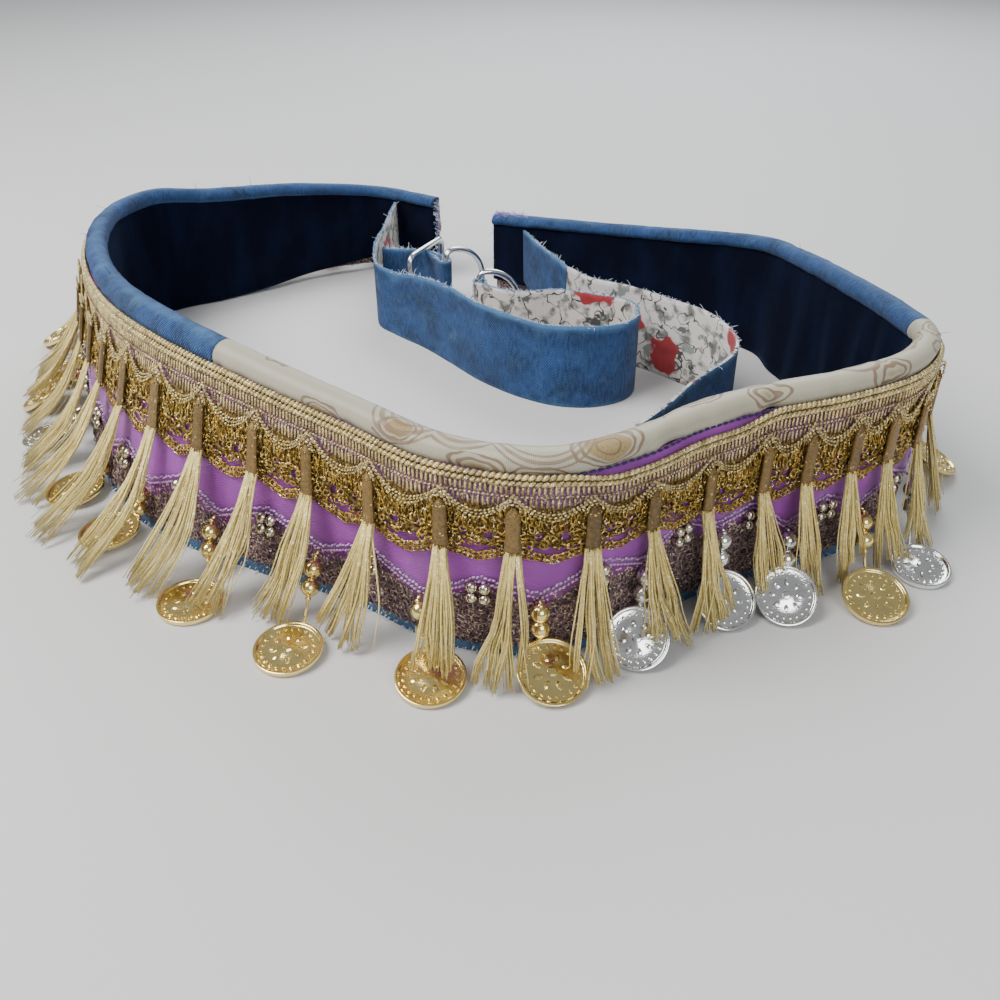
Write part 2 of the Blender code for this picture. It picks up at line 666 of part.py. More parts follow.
def make_tassel(bm, band, s, strip_face, sway, drops, dice):
    """Pull a flat head and five locks out of the strip's lower face, given by its four corners."""
    inner_left, outer_left, outer_right, inner_right = strip_face
    low = trim_height(band.at(s), HEAD_LOW)
    shares = [k / LOCKS - 0.5 for k in range(LOCKS + 1)]
    inner = [bm.verts.new(spot(band.at(s + share * HEAD_LOW_WIDTH), STRIP_INNER, low)) for share in shares]
    outer = [bm.verts.new(spot(band.at(s + share * HEAD_LOW_WIDTH), HEAD_OUTER, low)) for share in shares]
    bm.faces.new((inner_left, outer_left, outer[0], inner[0]))
    bm.faces.new((outer_right, inner_right, inner[-1], outer[-1]))
    bm.faces.new((outer_left, outer_right, *outer[::-1]))
    bm.faces.new((inner_right, inner_left, *inner))
    station = band.at(s)
    close = min(band.room(s) / USUAL_HALF_PITCH, 1.0)
    out = Vector((station.mx, station.my, 0)).normalized()
    side = Vector((-out.y, out.x, 0)) * close
    foot = spot(station, 0.0, 0.0) / MM
    middle_base = spot(station, 0.0, scaled(station, LOCK_MID_HEIGHT)) / MM
    for k in range(LOCKS):
        place = k - (LOCKS - 1) / 2
        drift = place * LOCK_MID_SPREAD + sway * SWAY_AT_MIDDLE
        middle_reach = LOCK_MID_REACH + dice.uniform(-MIDDLE_DRIFT, MIDDLE_DRIFT)
        middle = middle_base + side * drift + out * middle_reach
        reach = LOCK_TIP_REACH + LOCK_REACH_PER_LEAN * station.lean + dice.uniform(REACH_LEAST, REACH_MOST)
        reach -= abs(place) * SIDE_LOCK_SHORTER
        tip = Vector((foot.x, foot.y, LOCK_TIP_HEIGHT)) + side * (place * LOCK_TIP_SPREAD + sway) + out * reach
        root = (inner[k].co + outer[k + 1].co) / 2 / MM
        middle, tip = clear_lock(drops, root, middle, tip, out)
        across, deep = side.normalized() * LOCK_HALF_WIDTH, out * LOCK_HALF_DEPTH
        ring = [middle - deep - across, middle + deep - across, middle + deep + across, middle - deep + across]
        ring = [bm.verts.new(corner * MM) for corner in ring]
        corners = [inner[k], outer[k], outer[k + 1], inner[k + 1]]
        end = bm.verts.new(tip * MM)
        for j in range(4):
            n = (j + 1) % 4
            bm.faces.new((corners[j], corners[n], ring[n], ring[j]))
            bm.faces.new((ring[j], ring[n], end))


def clear_lock(drops, root, middle, tip, out):
    """Push a lock out past the beads and lift it over the coins."""
    near = [pose for _, pose in drops if (pose.centre - middle).length < 4 * GOLD_RADIUS]
    shares = [(k + 1) / LOCK_SAMPLES for k in range(LOCK_SAMPLES)]
    for _ in range(LOCK_TRIES):
        upper = [root.lerp(middle, share) for share in shares]
        lower = [middle.lerp(tip, share) for share in shares]
        caught = [
            place for place in upper + lower for pose in near for bead in pose.beads
            if (bead - place).length < BEAD_RADIUS + LOCK_ROOM
        ]
        if caught:
            middle = middle + out * LOCK_STEP
            tip = tip + out * LOCK_STEP / 2
        if any(place.z < resting(near, place) + LOCK_ROOM for place in upper):
            middle = middle + Vector((0, 0, LOCK_STEP))
        if any(place.z < resting(near, place) + LOCK_ROOM for place in lower):
            middle = middle + Vector((0, 0, LOCK_STEP / 2))
            tip = tip + Vector((0, 0, LOCK_STEP))
    return middle, tip


def resting(poses, place):
    """Height of the highest coin under a plan place."""
    return max((pose.surface(place.x, place.y) for pose in poses), default=0.0)


def tassel_sway(band, s, dice):
    """Each tassel falls a little sideways, away from the nearest coin drop."""
    nearest = min(band.points, key=lambda point: abs(point - s))
    away = 1 if s > nearest else -1
    push = SWAY_FROM_COIN if abs(s - nearest) < USUAL_HALF_PITCH else 0.0
    return away * push + dice.uniform(-SWAY_DRIFT, SWAY_DRIFT)


def make_fringe(band, drops):
    dice = random.Random(TASSEL_SEED)
    half_head = HEAD_TOP_WIDTH / 2
    for number in range(FRINGE_STRIPS):
        first = number * TASSEL_COUNT // FRINGE_STRIPS
        last = (number + 1) * TASSEL_COUNT // FRINGE_STRIPS
        tassels = band.tassels[first:last]
        start = STRIP_INSET if first == 0 else band.gaps[first - 1] + SEAM_GAP / 2
        end = band.length - STRIP_INSET if last == TASSEL_COUNT else band.gaps[last - 1] - SEAM_GAP / 2
        stations = [st for st in band.stretch(start, end)
                    if all(abs(st.s - s) > half_head + HEAD_ROOM for s in tassels)]
        for s in tassels:
            stations.extend((band.at(s - half_head), band.at(s + half_head)))
        stations.sort(key=lambda st: st.s)
        bm = bmesh.new()
        rings = []
        for st in stations:
            middle = STRIP_HIGH + (STRIP_LOW - STRIP_HIGH) * band.from_tassel(st.s)
            profile = box_profile(STRIP_INNER, STRIP_OUTER, trim_height(st, middle - STRIP_HALF),
                                  trim_height(st, middle + STRIP_HALF))
            rings.append([bm.verts.new(spot(st, out, height)) for out, height in profile])
        bm.faces.new(rings[0])
        bm.faces.new(rings[-1][::-1])
        for left, right, st, falls in zip(rings, rings[1:], stations, falls_after(stations)):
            for j in range(1, 4):
                k = (j + 1) % 4
                tile(bm, left[j], left[k], right[k], right[j], falls)
            heads = [s for s in tassels if math.isclose(st.s + half_head, s)]
            if heads:
                face = (left[0], left[1], right[1], right[0])
                make_tassel(bm, band, heads[0], face, tassel_sway(band, heads[0], dice), drops, dice)
            else:
                tile(bm, left[0], left[1], right[1], right[0], falls)
        bmesh.ops.triangulate(bm, faces=bm.faces[:])
        make_object(f"fringe_{number + 1}", bm, "tassel")


def standing_strip(turns, pieces, thickness):
    """Cloth standing on its long edge along a smooth plan path, cut into the pieces that show."""
    rows = smooth_rows(turns, TURN_STEPS)
    along = lengths_along(rows)
    start = 0.0
    for name, finish, last_turn in pieces:
        final = last_turn == len(turns) - 1
        end = along[last_turn * TURN_STEPS] - (0.0 if final else SEAM_GAP)
        places = [start, *[s for s in along if start + LEAST_STEP < s < end - LEAST_STEP], end]
        bm = bmesh.new()
        rings = []
        for s in places:
            x, y, low, top = row_at(rows, along, s)
            before, after = row_at(rows, along, s - HEADING_STEP), row_at(rows, along, s + HEADING_STEP)
            run = math.dist(before[:2], after[:2])
            side = Vector(((before[1] - after[1]) / run, (after[0] - before[0]) / run, 0)) * thickness / 2
            centre = Vector((x, y, 0))
            near, far = centre - side, centre + side
            corners = ((near, max(low, 0.0)), (far, max(low, 0.0)), (far, top), (near, top))
            rings.append([bm.verts.new((corner + Vector((0, 0, height))) * MM) for corner, height in corners])
        loft(bm, rings)
        make_object(name, bm, finish)
        start = end + SEAM_GAP


def seat_on_lining(band, seat):
    """Where a strap's end is sewn to the lining."""
    face = spot(band.at(seat.s), -DENIM_WALL - LINING_WALL - 3 * SEAM_GAP, 0.0) / MM
    return Turn(face.x, face.y, seat.low, seat.top)


def make_straps(band):
    standing_strip((seat_on_lining(band, LEFT_SEAT), *LEFT_STRAP), LEFT_PIECES, STRAP_WALL)
    standing_strip((seat_on_lining(band, RIGHT_SEAT), *RIGHT_STRAP), RIGHT_PIECES, STRAP_WALL)
    standing_strip(RING_TAB, (("ring_tab", "denim", len(RING_TAB) - 1),), TAB_WALL)


def make_ring(ring):
    """A bent rod: a straight bar, two round corners and a half-round bow."""
    along = Vector(ring.along).normalized()
    out = Vector(ring.out).normalized()
    bar = Vector(ring.bar)
    half = ring.width / 2
    path = [(-half + RING_CORNER, 0.0), (half - RING_CORNER, 0.0), (half - RING_MITRE, RING_MITRE)]
    for step in range(BOW_STEPS):
        angle = math.pi * step / (BOW_STEPS - 1)
        path.append((half * math.cos(angle), RING_CORNER + (ring.depth - RING_CORNER) * math.sin(angle)))
    path.append((-half + RING_MITRE, RING_MITRE))
    points = [bar + along * a + out * b for a, b in path]
    across = along.cross(out)
    bm = bmesh.new()
    rings = []
    for i, point in enumerate(points):
        heading = (points[(i + 1) % len(points)] - points[i - 1]).normalized()
        side = heading.cross(across)
        rings.append([
            bm.verts.new((point + (side * math.cos(a) + across * math.sin(a)) * ROD_RADIUS) * MM)
            for a in (2 * math.pi * k / ROD_SIDES for k in range(ROD_SIDES))
        ])
    loft(bm, rings, closed=True)
    return make_object(ring.name, bm, "steel")


def stand_at_origin():
    """Move the whole belt so that the middle of its outline stands on the origin."""
    items = [item for item in bpy.data.objects if item.type == "MESH"]
    corners = [vertex.co for item in items for vertex in item.data.vertices]
    shift = Vector((
        -(min(c.x for c in corners) + max(c.x for c in corners)) / 2,
        -(min(c.y for c in corners) + max(c.y for c in corners)) / 2,
        0,
    ))
    for item in items:
        for vertex in item.data.vertices:
            vertex.co += shift
        item.data.update()
    return shift


def main():
    clear_scene()
    band = Band()
    make_band(band)
    make_bindings(band)
    make_trims(band)
    drops = coin_drops(band)
    make_fringe(band, drops)
    make_coin_drops(drops)
    make_straps(band)
    for ring in RINGS:
        make_ring(ring)
    return band, stand_at_origin()


if __name__ == "__main__":
    main()
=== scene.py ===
"""Dresses the coin belt: cloth, stitching, braid, tassels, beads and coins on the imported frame."""

import math
import random
from collections import namedtuple

import bpy
import numpy as np
from bpy.props import FloatProperty, FloatVectorProperty, IntProperty, PointerProperty
from mathutils import Matrix, Vector


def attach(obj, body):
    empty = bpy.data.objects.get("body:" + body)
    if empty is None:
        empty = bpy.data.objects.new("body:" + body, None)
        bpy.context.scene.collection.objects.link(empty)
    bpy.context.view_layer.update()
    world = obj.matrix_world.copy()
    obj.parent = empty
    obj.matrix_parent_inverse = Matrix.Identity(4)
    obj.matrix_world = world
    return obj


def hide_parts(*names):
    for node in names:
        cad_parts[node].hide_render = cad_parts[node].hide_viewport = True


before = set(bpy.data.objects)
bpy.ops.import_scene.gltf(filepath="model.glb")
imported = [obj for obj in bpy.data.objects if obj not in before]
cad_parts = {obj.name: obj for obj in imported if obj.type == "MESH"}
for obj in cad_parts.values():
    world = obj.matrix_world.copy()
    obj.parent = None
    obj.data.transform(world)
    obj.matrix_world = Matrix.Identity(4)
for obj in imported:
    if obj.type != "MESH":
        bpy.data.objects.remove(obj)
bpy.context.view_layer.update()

bl_info = {
    "name": "Coin belt dressing",
    "version": (1, 0, 0),
    "blender": (4, 5, 0),
    "location": "3D View > Sidebar > Coin belt",
    "description": "Cloth, braid, tassels, beads and coins of a hip belt",
    "category": "Add Mesh",
}

MM = 0.001
GLITTER_SCALE = 1500.0
WEAR_PATCH = 1000 / 85
SHIFT = (4.7, -7.4)

# The band, as the solids have it: plan position, top edge, lift of the lower edge, lean of the foot
BELT_HEIGHT = 81.0
Section = namedtuple("Section", "x y top foot lean")
SECTIONS = tuple(map(Section._make, (
    (-18, 166, 50, 12, 0), (-54, 181, 52, 9, 0), (-99, 164, 59, 4, 0), (-148, 127, 67, 0, 2),
    (-169, 113, 71, 0, 4), (-181, 88, 72, 0, 7), (-181, 62, 73, 0, 9), (-173, 29, 75, 0, 14),
    (-148, -27, 78, 0, 21), (-104, -87, 84, 0, 26), (-63, -121, 82, 0, 17), (-29, -148, 81, 0, 7),
    (5, -174, 81, 0, 3), (38, -180, 81, 0, 1), (63, -169, 81, 0, 1), (84, -153, 81, 0, 1),
    (106, -141, 81, 0, 1), (139, -129, 81, 0, 0), (168, -112, 81, 0, 0), (182, -90, 80, 0, 0),
    (182, -60, 77, 0, 0), (175, -19, 73, 0, 0), (165, 34, 66, 0, 0), (158, 57, 63, 0, 1), (145, 73, 60, 0, 1),
    (116, 89, 57, 2, 1), (75, 111, 53, 6, 0), (18, 139, 49, 10, 0),
)))
CORE_TOP_INSET = 2.2
FIRST_TASSEL, LAST_TASSEL = 14.8, 1050.9
SHOWN_TASSELS = (429.0, 456.5, 482.0, 510.8, 537.8, 559.5, 581.5, 603.0, 629.5, 654.2, 672.2, 691.0,
                 707.2, 724.5)
TASSELS_BEFORE, TASSELS_AFTER = 17, 13
USUAL_HALF_PITCH = 12.35
FIRST_POINT, POINT_PITCH, POINT_COUNT = 1.8, 36.9, 29
BROCADE_START, BROCADE_END = 431.0, 758.0
Stretch = namedtuple("Stretch", "amount start end ramp")
BRAID_DROP = Stretch(4.0, 582.0, 650.0, 22.0)
BRAID_RISE = Stretch(4.5, 535.0, 615.0, 40.0)
BRAID_LOW, BRAID_HIGH = 42.0, 75.5
LACE_LOW, TRIM_TOP = 5.0, 73.8
RIBBON_TIP, RIBBON_NOTCH = 22.0, 8.0

# Trims: distances outward and heights on the band, and shares of the way between two tassels
TOP_ROPES, THIN_ROPE = ((4.1, 74.0), (4.3, 71.6)), (4.4, 66.2)
LONG_RIB_MIDDLE, LONG_RIB_FOOT, SHORT_RIB_TOP, SHORT_RIB_DEEP = 68.4, 65.4, 66.4, 6.4
BOW_TOP, BOW_DEEP, BOW_STEPS, BOW_OUT = 67.6, 8.0, (0.0, 1.45, 2.9), 5.3
HEAD_LOOPS, HEAD_LOOP_HEIGHT = ((3.5, 4.2), (2.3, 2.9)), 62.3
CRUST_LOW, CRUST_TOP, CRUST_DEEP, UPRIGHT_LOOPS = 45.0, 64.0, 5.2, 52.5
WINDOWS, LOOP_GAPS = ((0.26, 0.41), (0.59, 0.74)), ((0.27, 0.41), (0.59, 0.73))
LOOP_GAP_LOW, LOOP_GAP_HIGH = 46.5, 50.3
CHAIN_HIGH, CHAIN_DROP, CHAIN_ROWS = 42.6, 4.0, (1.2, -0.7)
HEAD_FOOT, HEAD_LENGTH, HEAD_OUT, WRAPS = 43.0, 20.0, 6.6, ((60.6, 2.2), (44.0, 2.5))
STITCH_HEIGHT, STITCH_OUT = 74.0, 3.25

# Coins and the locks of the tassels, as the solids have them
GOLD_RADIUS, SILVER_RADIUS = 12.0, 11.0
SILVER_POINTS = (2, 5, 9, 16, 17, 18, 20, 23, 26)
COIN_BODY, COIN_RIM, COIN_LIFT, COIN_MARGIN, COIN_FACING = 1.0, 1.7, 0.5, 1.8, 0.3
BEAD_RADIUS, BEAD_SPARE_ABOVE, THREAD_SINK, THREAD_LENGTH = 3.4, 0.15, 0.8, 14.9
DROP_START, DROP_START_RISE, ALONG_LIMIT = 6.2, 0.8, 0.8
Drop = namedtuple("Drop", "point shift tip along out tilt")
SHOWN_DROPS = tuple(map(Drop._make, (
    # ribbon point, its shift along the band and height, then the coin's middle and tilt
    (8, -5, 20, -9.3, 19.7, 30), (9, -5.4, 20, -14.6, 18.4, 10), (10, -6, 19, -2.6, 14.0, 8),
    (11, -6.7, 19, -6.7, 14.0, 6), (12, -7.2, 19, 12.2, 24.6, 2), (13, 3.5, 20, 12.5, 30.7, 6),
    (14, 11.6, 21, 13.5, 17.5, 10), (15, 12.2, 27, 3.9, 13.9, 25), (16, 10.8, 31, -7.3, 11.0, 42),
    (17, 9.9, 31, -2.6, 14.2, 42), (18, 3.5, 22.5, -8.0, 21.8, 40), (19, -1, 23, -12.6, 30.4, 18),
    (20, -5, 23, -28.0, 20.2, 10),
)))
HIDDEN_ALONG, HIDDEN_TILTS = (5, -3, 2, -6, 4), (24, 12, 32)
LOCKS, HEAD_LOW, HEAD_LOW_WIDTH = 5, 43.0, 6.0
LOCK_MID_HEIGHT, LOCK_MID_REACH, LOCK_MID_SPREAD, LOCK_TIP_SPREAD = 18.0, 13.4, 2.4, 3.9
LOCK_TIP_HEIGHT, LOCK_TIP_REACH, LOCK_REACH_PER_LEAN = 1.1, 19.0, 0.65
LOCK_ROOM, LOCK_STEP, LOCK_TRIES, LOCK_SAMPLES = 1.4, 0.4, 60, 8
TASSEL_SEED = 7

# Straps: plan position, heights of the lower and upper edge
Turn = namedtuple("Turn", "x y low top")
LEFT_STRAP = tuple(map(Turn._make, (
    (-43.6, 172.6, 15, 45), (-45, 150, 12, 45), (-47, 132, 8, 43), (-50, 106, 3, 40), (-47, 90, 0, 37),
    (-38, 80, 0, 36), (-22, 64, 0, 40), (-6, 44, 0, 42), (14, 19, 0, 42), (32, 4, 0, 42), (50, -4, 0, 42),
    (68, -4, 0, 42), (82, 4, 0, 42), (87, 17, 0, 42), (82, 28, 0, 42), (68, 35, 0, 42), (50, 40, 0, 42),
    (32, 39, 0, 42), (19, 43, 0, 42), (10, 54, 3, 40), (6.6, 64, 7, 36), (6.4, 70, 7, 36), (9, 72.4, 7, 36),
    (11.6, 70, 7, 36), (12.6, 63, 7, 36), (15, 55, 6, 37),
)))
RIGHT_STRAP = tuple(map(Turn._make, (
    (34.2, 125.9, 13, 43), (41, 106, 6, 43), (49, 86, 2, 43), (56, 71, 0, 42), (66, 58, 0, 42),
    (82, 47, 0, 42), (108, 25, 0, 42), (123, 6, 0, 42), (128, -11, 0, 42), (126, -27, 0, 42),
    (104, -56, 0, 42), (84, -83, 0, 42), (74, -96, 0, 42), (52, -112, 0, 42), (26, -122, 0, 41),
)))
RIGHT_ROOT_TURNS = 4
RING_TAB = tuple(map(Turn._make, (
    (-47.2, 121.2, 8, 35.2), (-34.8, 119.0, 8, 35.2), (-21.6, 115.7, 8, 35.2), (-14.9, 109.6, 8, 35.2),
    (-8.0, 102.1, 8, 35.2), (-7.4, 99.8, 8, 35.2), (-8.4, 98.3, 8, 35.2), (-10.4, 97.8, 8, 35.2),
    (-12.2, 98.8, 8, 35.2), (-17.1, 108.0, 8, 35.2), (-22.4, 114.2, 8, 35.2), (-35.2, 117.4, 8, 35.2),
    (-47.4, 119.6, 8, 35.2),
)))
Ring = namedtuple("Ring", "name bar along out width depth")
RINGS = (
    Ring("ring_over_tab", (-22, 115, 37.2), (0.43, 0.9, 0), (0, 0, -1), 37, 34),
    Ring("ring_in_tab", (-10, 100.4, 21.5), (0, 0, 1), (0.82, 0.57, 0), 37, 24),
    Ring("ring_on_strap", (9, 69, 21.5), (0, 0, 1), (0.97, 0.24, 0), 37, 22),
)
ROD_RADIUS, RING_CORNER = 1.6, 4.0

# Studio: name, place, size, power and colour of each lamp; then the sky and the camera
LAMPS = (
    ("key", (-0.75, -0.25, 1.1), 0.8, 26.0, (1.0, 0.98, 0.95)),
    ("front", (0.45, -1.3, 0.8), 0.8, 10.0, (0.97, 0.98, 1.0)),
    ("back", (0.3, 1.0, 0.95), 0.9, 15.0, (0.92, 0.96, 1.0)),
)
SKY_STRENGTH = 0.36
CAMERA_PLACE, CAMERA_TILT, CAMERA_LENS = (0.0247, -0.4424, 0.2353), 56, 36.0

# Outer shapes of the dressed pieces: outward distance and height, in the order of the cloth
ROLL_PATH = ((2.3, -7.4), (3.2, -5.2), (3.1, -2.6), (1.6, -0.8), (-1.6, 0.0), (-4.4, -0.6),
             (-6.2, -3.0), (-6.5, -6.0), (-5.2, -8.4))
LINING_FOLDS = (
    # distance along the band, half width, depth, slant of the fold's foot
    (60, 14, 1.2, 6), (118, 20, 1.6, -8), (171, 12, 1.1, 5), (232, 22, 1.4, 10), (290, 15, 1.5, -6),
    (352, 20, 1.2, 7), (415, 14, 1.3, -5), (470, 18, 1.1, 6), (540, 16, 1.0, -6), (602, 14, 1.2, 5),
    (660, 16, 1.3, -7), (716, 11, 2.0, 5), (741, 8, 3.2, -9), (758, 7, 3.8, 8), (776, 8, 3.4, -6),
    (796, 9, 3.0, 10), (818, 10, 2.4, -8), (846, 12, 2.2, 9), (878, 13, 1.6, -6), (915, 15, 1.8, 7),
    (958, 16, 1.5, -8), (1003, 14, 1.2, 6),
)


def length_property(name, description, default, low, high):
    """A length that is written in millimetres and kept in metres."""
    return FloatProperty(name=name, description=description, unit="LENGTH",
                         default=default * MM, min=low * MM, max=high * MM)


class BeltSizes(bpy.types.PropertyGroup):
    """Sizes of the belt's trims that a user may change"""

    rope_radius: length_property("Rope radius", "Radius of each of the two top ropes", 1.25, 0.6, 1.6)
    cord_radius: length_property("Cord radius", "Radius of the thin scallop cords", 0.48, 0.3, 1.0)
    rib_pitch: length_property("Rib pitch", "Distance between two gold ribs", 1.55, 1.0, 4.0)
    crust_pitch: length_property("Loop pitch", "Distance between two glitter loops", 2.2, 1.5, 6.0)
    net_pitch: length_property("Net pitch", "Distance between two stitches of the net", 3.1, 2.0, 8.0)
    strands: IntProperty(name="Strands", description="Silk strands in each of a tassel's locks",
                         default=14, min=3, max=18)
    strand_radius: length_property("Strand radius", "Radius of one silk strand", 0.44, 0.2, 0.6)
    stitch_pitch: length_property("Stitch pitch", "Distance between two navy stitches", 2.7, 1.5, 6.0)


def colour_property(name, description, default):
    return FloatVectorProperty(name=name, description=description, default=default, min=0.0, max=1.0,
                               size=3, subtype="COLOR")


class BeltColours(bpy.types.PropertyGroup):
    """Colours of the belt's finishes"""

    denim: colour_property("Denim", "Blue of the denim", (0.013, 0.048, 0.155))
    denim_worn: colour_property("Worn denim", "Pale blue where the denim is rubbed", (0.062, 0.155, 0.31))
    velvet: colour_property("Velvet", "Navy of the lining", (0.0016, 0.003, 0.011))
    cream: colour_property("Cream", "Cream satin of the front binding", (0.43, 0.40, 0.30))
    satin: colour_property("Satin", "Purple of the pointed ribbon", (0.33, 0.06, 0.40))
    lilac: colour_property("Lilac", "Cord on the ribbon's edge", (0.74, 0.44, 0.80))
    gold: colour_property("Gold thread", "Pale gold of ropes and ribs", (0.84, 0.68, 0.33))
    crust: colour_property("Brown gold", "Glitter loops and chain", (0.66, 0.42, 0.09))
    silk: colour_property("Silk", "Golden beige of the tassels", (1.0, 0.73, 0.27))
    brass: colour_property("Coin gold", "Pale yellow coins and beads", (0.98, 0.79, 0.33))
    silver: colour_property("Coin silver", "Mirror-like coins and beads", (0.90, 0.90, 0.87))
    print_ground: colour_property("Print ground", "Off-white ground of the printed side", (0.66, 0.63, 0.60))


# The band's line

def smooth_rows(rows, steps):
    """Pass a smooth curve through the rows' columns and return evenly stepped rows."""
    rows = np.array(rows, float)
    spans = np.hypot(*(rows[1:, :2] - rows[:-1, :2]).T)
    slopes = np.empty_like(rows)
    slopes[0] = (rows[1] - rows[0]) / spans[0]
    slopes[-1] = (rows[-1] - rows[-2]) / spans[-1]
    for i in range(1, len(rows) - 1):
        before, after = spans[i - 1], spans[i]
        rise = (rows[i + 1] - rows[i]) / after * before + (rows[i] - rows[i - 1]) / before * after
        slopes[i] = rise / (before + after)
    curve = []
    for i, span in enumerate(spans):
        for step in range(steps):
            t = step / steps
            curve.append((2 * t**3 - 3 * t**2 + 1) * rows[i] + (t**3 - 2 * t**2 + t) * span * slopes[i]
                         + (3 * t**2 - 2 * t**3) * rows[i + 1] + (t**3 - t**2) * span * slopes[i + 1])
    curve.append(rows[-1])
    return np.array(curve)


class Line:
    """A smooth plan line with its normals; columns after x and y are read along it."""

    def __init__(self, rows, steps):
        self.curve = smooth_rows(rows, steps)
        run = np.hypot(*(self.curve[1:, :2] - self.curve[:-1, :2]).T)
        self.along = np.concatenate(([0.0], np.cumsum(run)))
        self.length = float(self.along[-1])
        heading = np.gradient(self.curve[:, :2], self.along, axis=0)
        heading /= np.linalg.norm(heading, axis=1)[:, None]
        self.table = np.column_stack((self.curve[:, :2], heading[:, 1], -heading[:, 0], self.curve[:, 2:]))

    def at(self, s):
        """Columns x, y, normal x, normal y and the rest at each distance."""
        s = np.asarray(s, float)
        return [np.interp(s, self.along, column) for column in self.table.T]


BAND = Line(SECTIONS, 24)
LENGTH = BAND.length
TASSELS = np.concatenate((
    np.linspace(FIRST_TASSEL, SHOWN_TASSELS[0], TASSELS_BEFORE + 1)[:-1],
    SHOWN_TASSELS,
    np.linspace(SHOWN_TASSELS[-1], LAST_TASSEL, TASSELS_AFTER + 1)[1:],
))
TASSEL_COUNT = len(TASSELS)
GAPS = (TASSELS[:-1] + TASSELS[1:]) / 2
SHIFTS = {drop.point: drop.shift for drop in SHOWN_DROPS}
TIPS = {drop.point: drop.tip for drop in SHOWN_DROPS}
POINTS = np.array([FIRST_POINT + POINT_PITCH * k + SHIFTS.get(k, 0) for k in range(POINT_COUNT + 1)])
POINT_TIPS = np.array([TIPS.get(k, RIBBON_TIP) for k in range(POINT_COUNT + 1)])
VALLEYS = (POINTS[:-1] + POINTS[1:]) / 2


def on_band(s, out, height, full=True):
    """Places in metres of (distance, outward, height); heights shrink with the band unless full is off."""
    x, y, nx, ny, top, foot, lean = BAND.at(s)
    rise = height * top / BELT_HEIGHT if full else height
    away = out + lean * (1 - rise / top)
    return np.column_stack((x + nx * away + SHIFT[0], y + ny * away + SHIFT[1], rise)) * MM


def band_at(s):
    """Plan position, outward direction, top, foot and lean of the band at one distance."""
    return [float(value) for value in BAND.at(s)]


def amount_at(stretch, s):
    """How much of a stretch's change is reached at each distance, with soft ends."""
    inside = np.minimum(s - stretch.start, stretch.end - s) / stretch.ramp + 0.5
    share = np.clip(inside, 0.0, 1.0)
    return stretch.amount * share * share * (3 - 2 * share)


def trim_height(s, height):
    """The braid's top drops below a bare strip of ribbon and its lower edge rises there."""
    level = (height - BRAID_LOW) / (BRAID_HIGH - BRAID_LOW)
    return height + amount_at(BRAID_RISE, s) * (1 - level) - amount_at(BRAID_DROP, s) * level


def between_tassels(s):
    """Zero at a tassel, one at the next."""
    pitch = 2 * USUAL_HALF_PITCH
    ends = np.concatenate(([TASSELS[0] - pitch], TASSELS, [TASSELS[-1] + pitch]))
    return np.interp(s, ends, np.arange(len(ends))) % 1


def from_tassel(s):
    """Zero at a tassel, one halfway between two."""
    return 1 - np.abs(between_tassels(s) * 2 - 1)


def ribbon_low(s):
    """The ribbon's pointed lower edge: lowest at each point, highest halfway between two."""
    left = np.clip(np.searchsorted(POINTS, s, side="right") - 1, 0, POINT_COUNT - 1)
    share = np.clip((s - POINTS[left]) / (POINTS[left + 1] - POINTS[left]), 0.0, 1.0)
    level = POINT_TIPS[left] + (POINT_TIPS[left + 1] - POINT_TIPS[left]) * share
    return level + RIBBON_NOTCH * (1 - np.abs(share * 2 - 1))


# Modelling helpers

def deselect():
    for item in bpy.context.selected_objects:
        item.select_set(False)


def pick(item):
    deselect()
    item.select_set(True)
    bpy.context.view_layer.objects.active = item


def apply_modifiers(item):
    pick(item)
    for modifier in list(item.modifiers):
        bpy.ops.object.modifier_apply(modifier=modifier.name)


def dress(item, materials, nodes=()):
    """Give a finished piece its materials, and let it stand for its solids."""
    faces = item.data.polygons
    sides = np.zeros(len(faces), int)
    faces.foreach_get("material_index", sides)
    item.data.materials.clear()
    for material in materials:
        item.data.materials.append(material)
    faces.foreach_set("material_index", np.minimum(sides, len(materials) - 1))
    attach(item, "root")
    if nodes:
        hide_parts(*nodes)


def smooth(item):
    pick(item)
    bpy.ops.object.shade_smooth()


def cut_cloth(name, columns, rows):
    """A flat cloth with a UV map, one unit each way, ready to be laid."""
    deselect()
    bpy.ops.mesh.primitive_grid_add(x_subdivisions=columns, y_subdivisions=rows, size=1)
    cloth = bpy.context.object
    cloth.name = name
    cloth.data.name = name
    return cloth


def lay(cloth, place, outward, length, width, worn=None):
    """Lay a flat cloth: place gives metres from its two shares, and its UV map gets its real size."""
    mesh = cloth.data
    u, v = places_of(mesh)[:, :2].T + 0.5
    mesh.vertices.foreach_set("co", place(u, v).ravel())
    grain = np.empty(len(mesh.loops) * 2)
    layer = mesh.uv_layers.active.data
    layer.foreach_get("uv", grain)
    layer.foreach_set("uv", (grain.reshape(-1, 2) * (length, width)).ravel())
    wear = mesh.attributes.new("worn", "FLOAT", "POINT")
    share = np.zeros(len(u)) if worn is None else worn(u, v)
    wear.data.foreach_set("value", share)
    mesh.update()
    middle = mesh.polygons[len(mesh.polygons) // 2]
    if middle.normal.dot(Vector(outward(middle.center))) < 0:
        mesh.flip_normals()
    mesh.update()


def cloth_area(cloth):
    return sum(face.area for face in cloth.data.polygons)


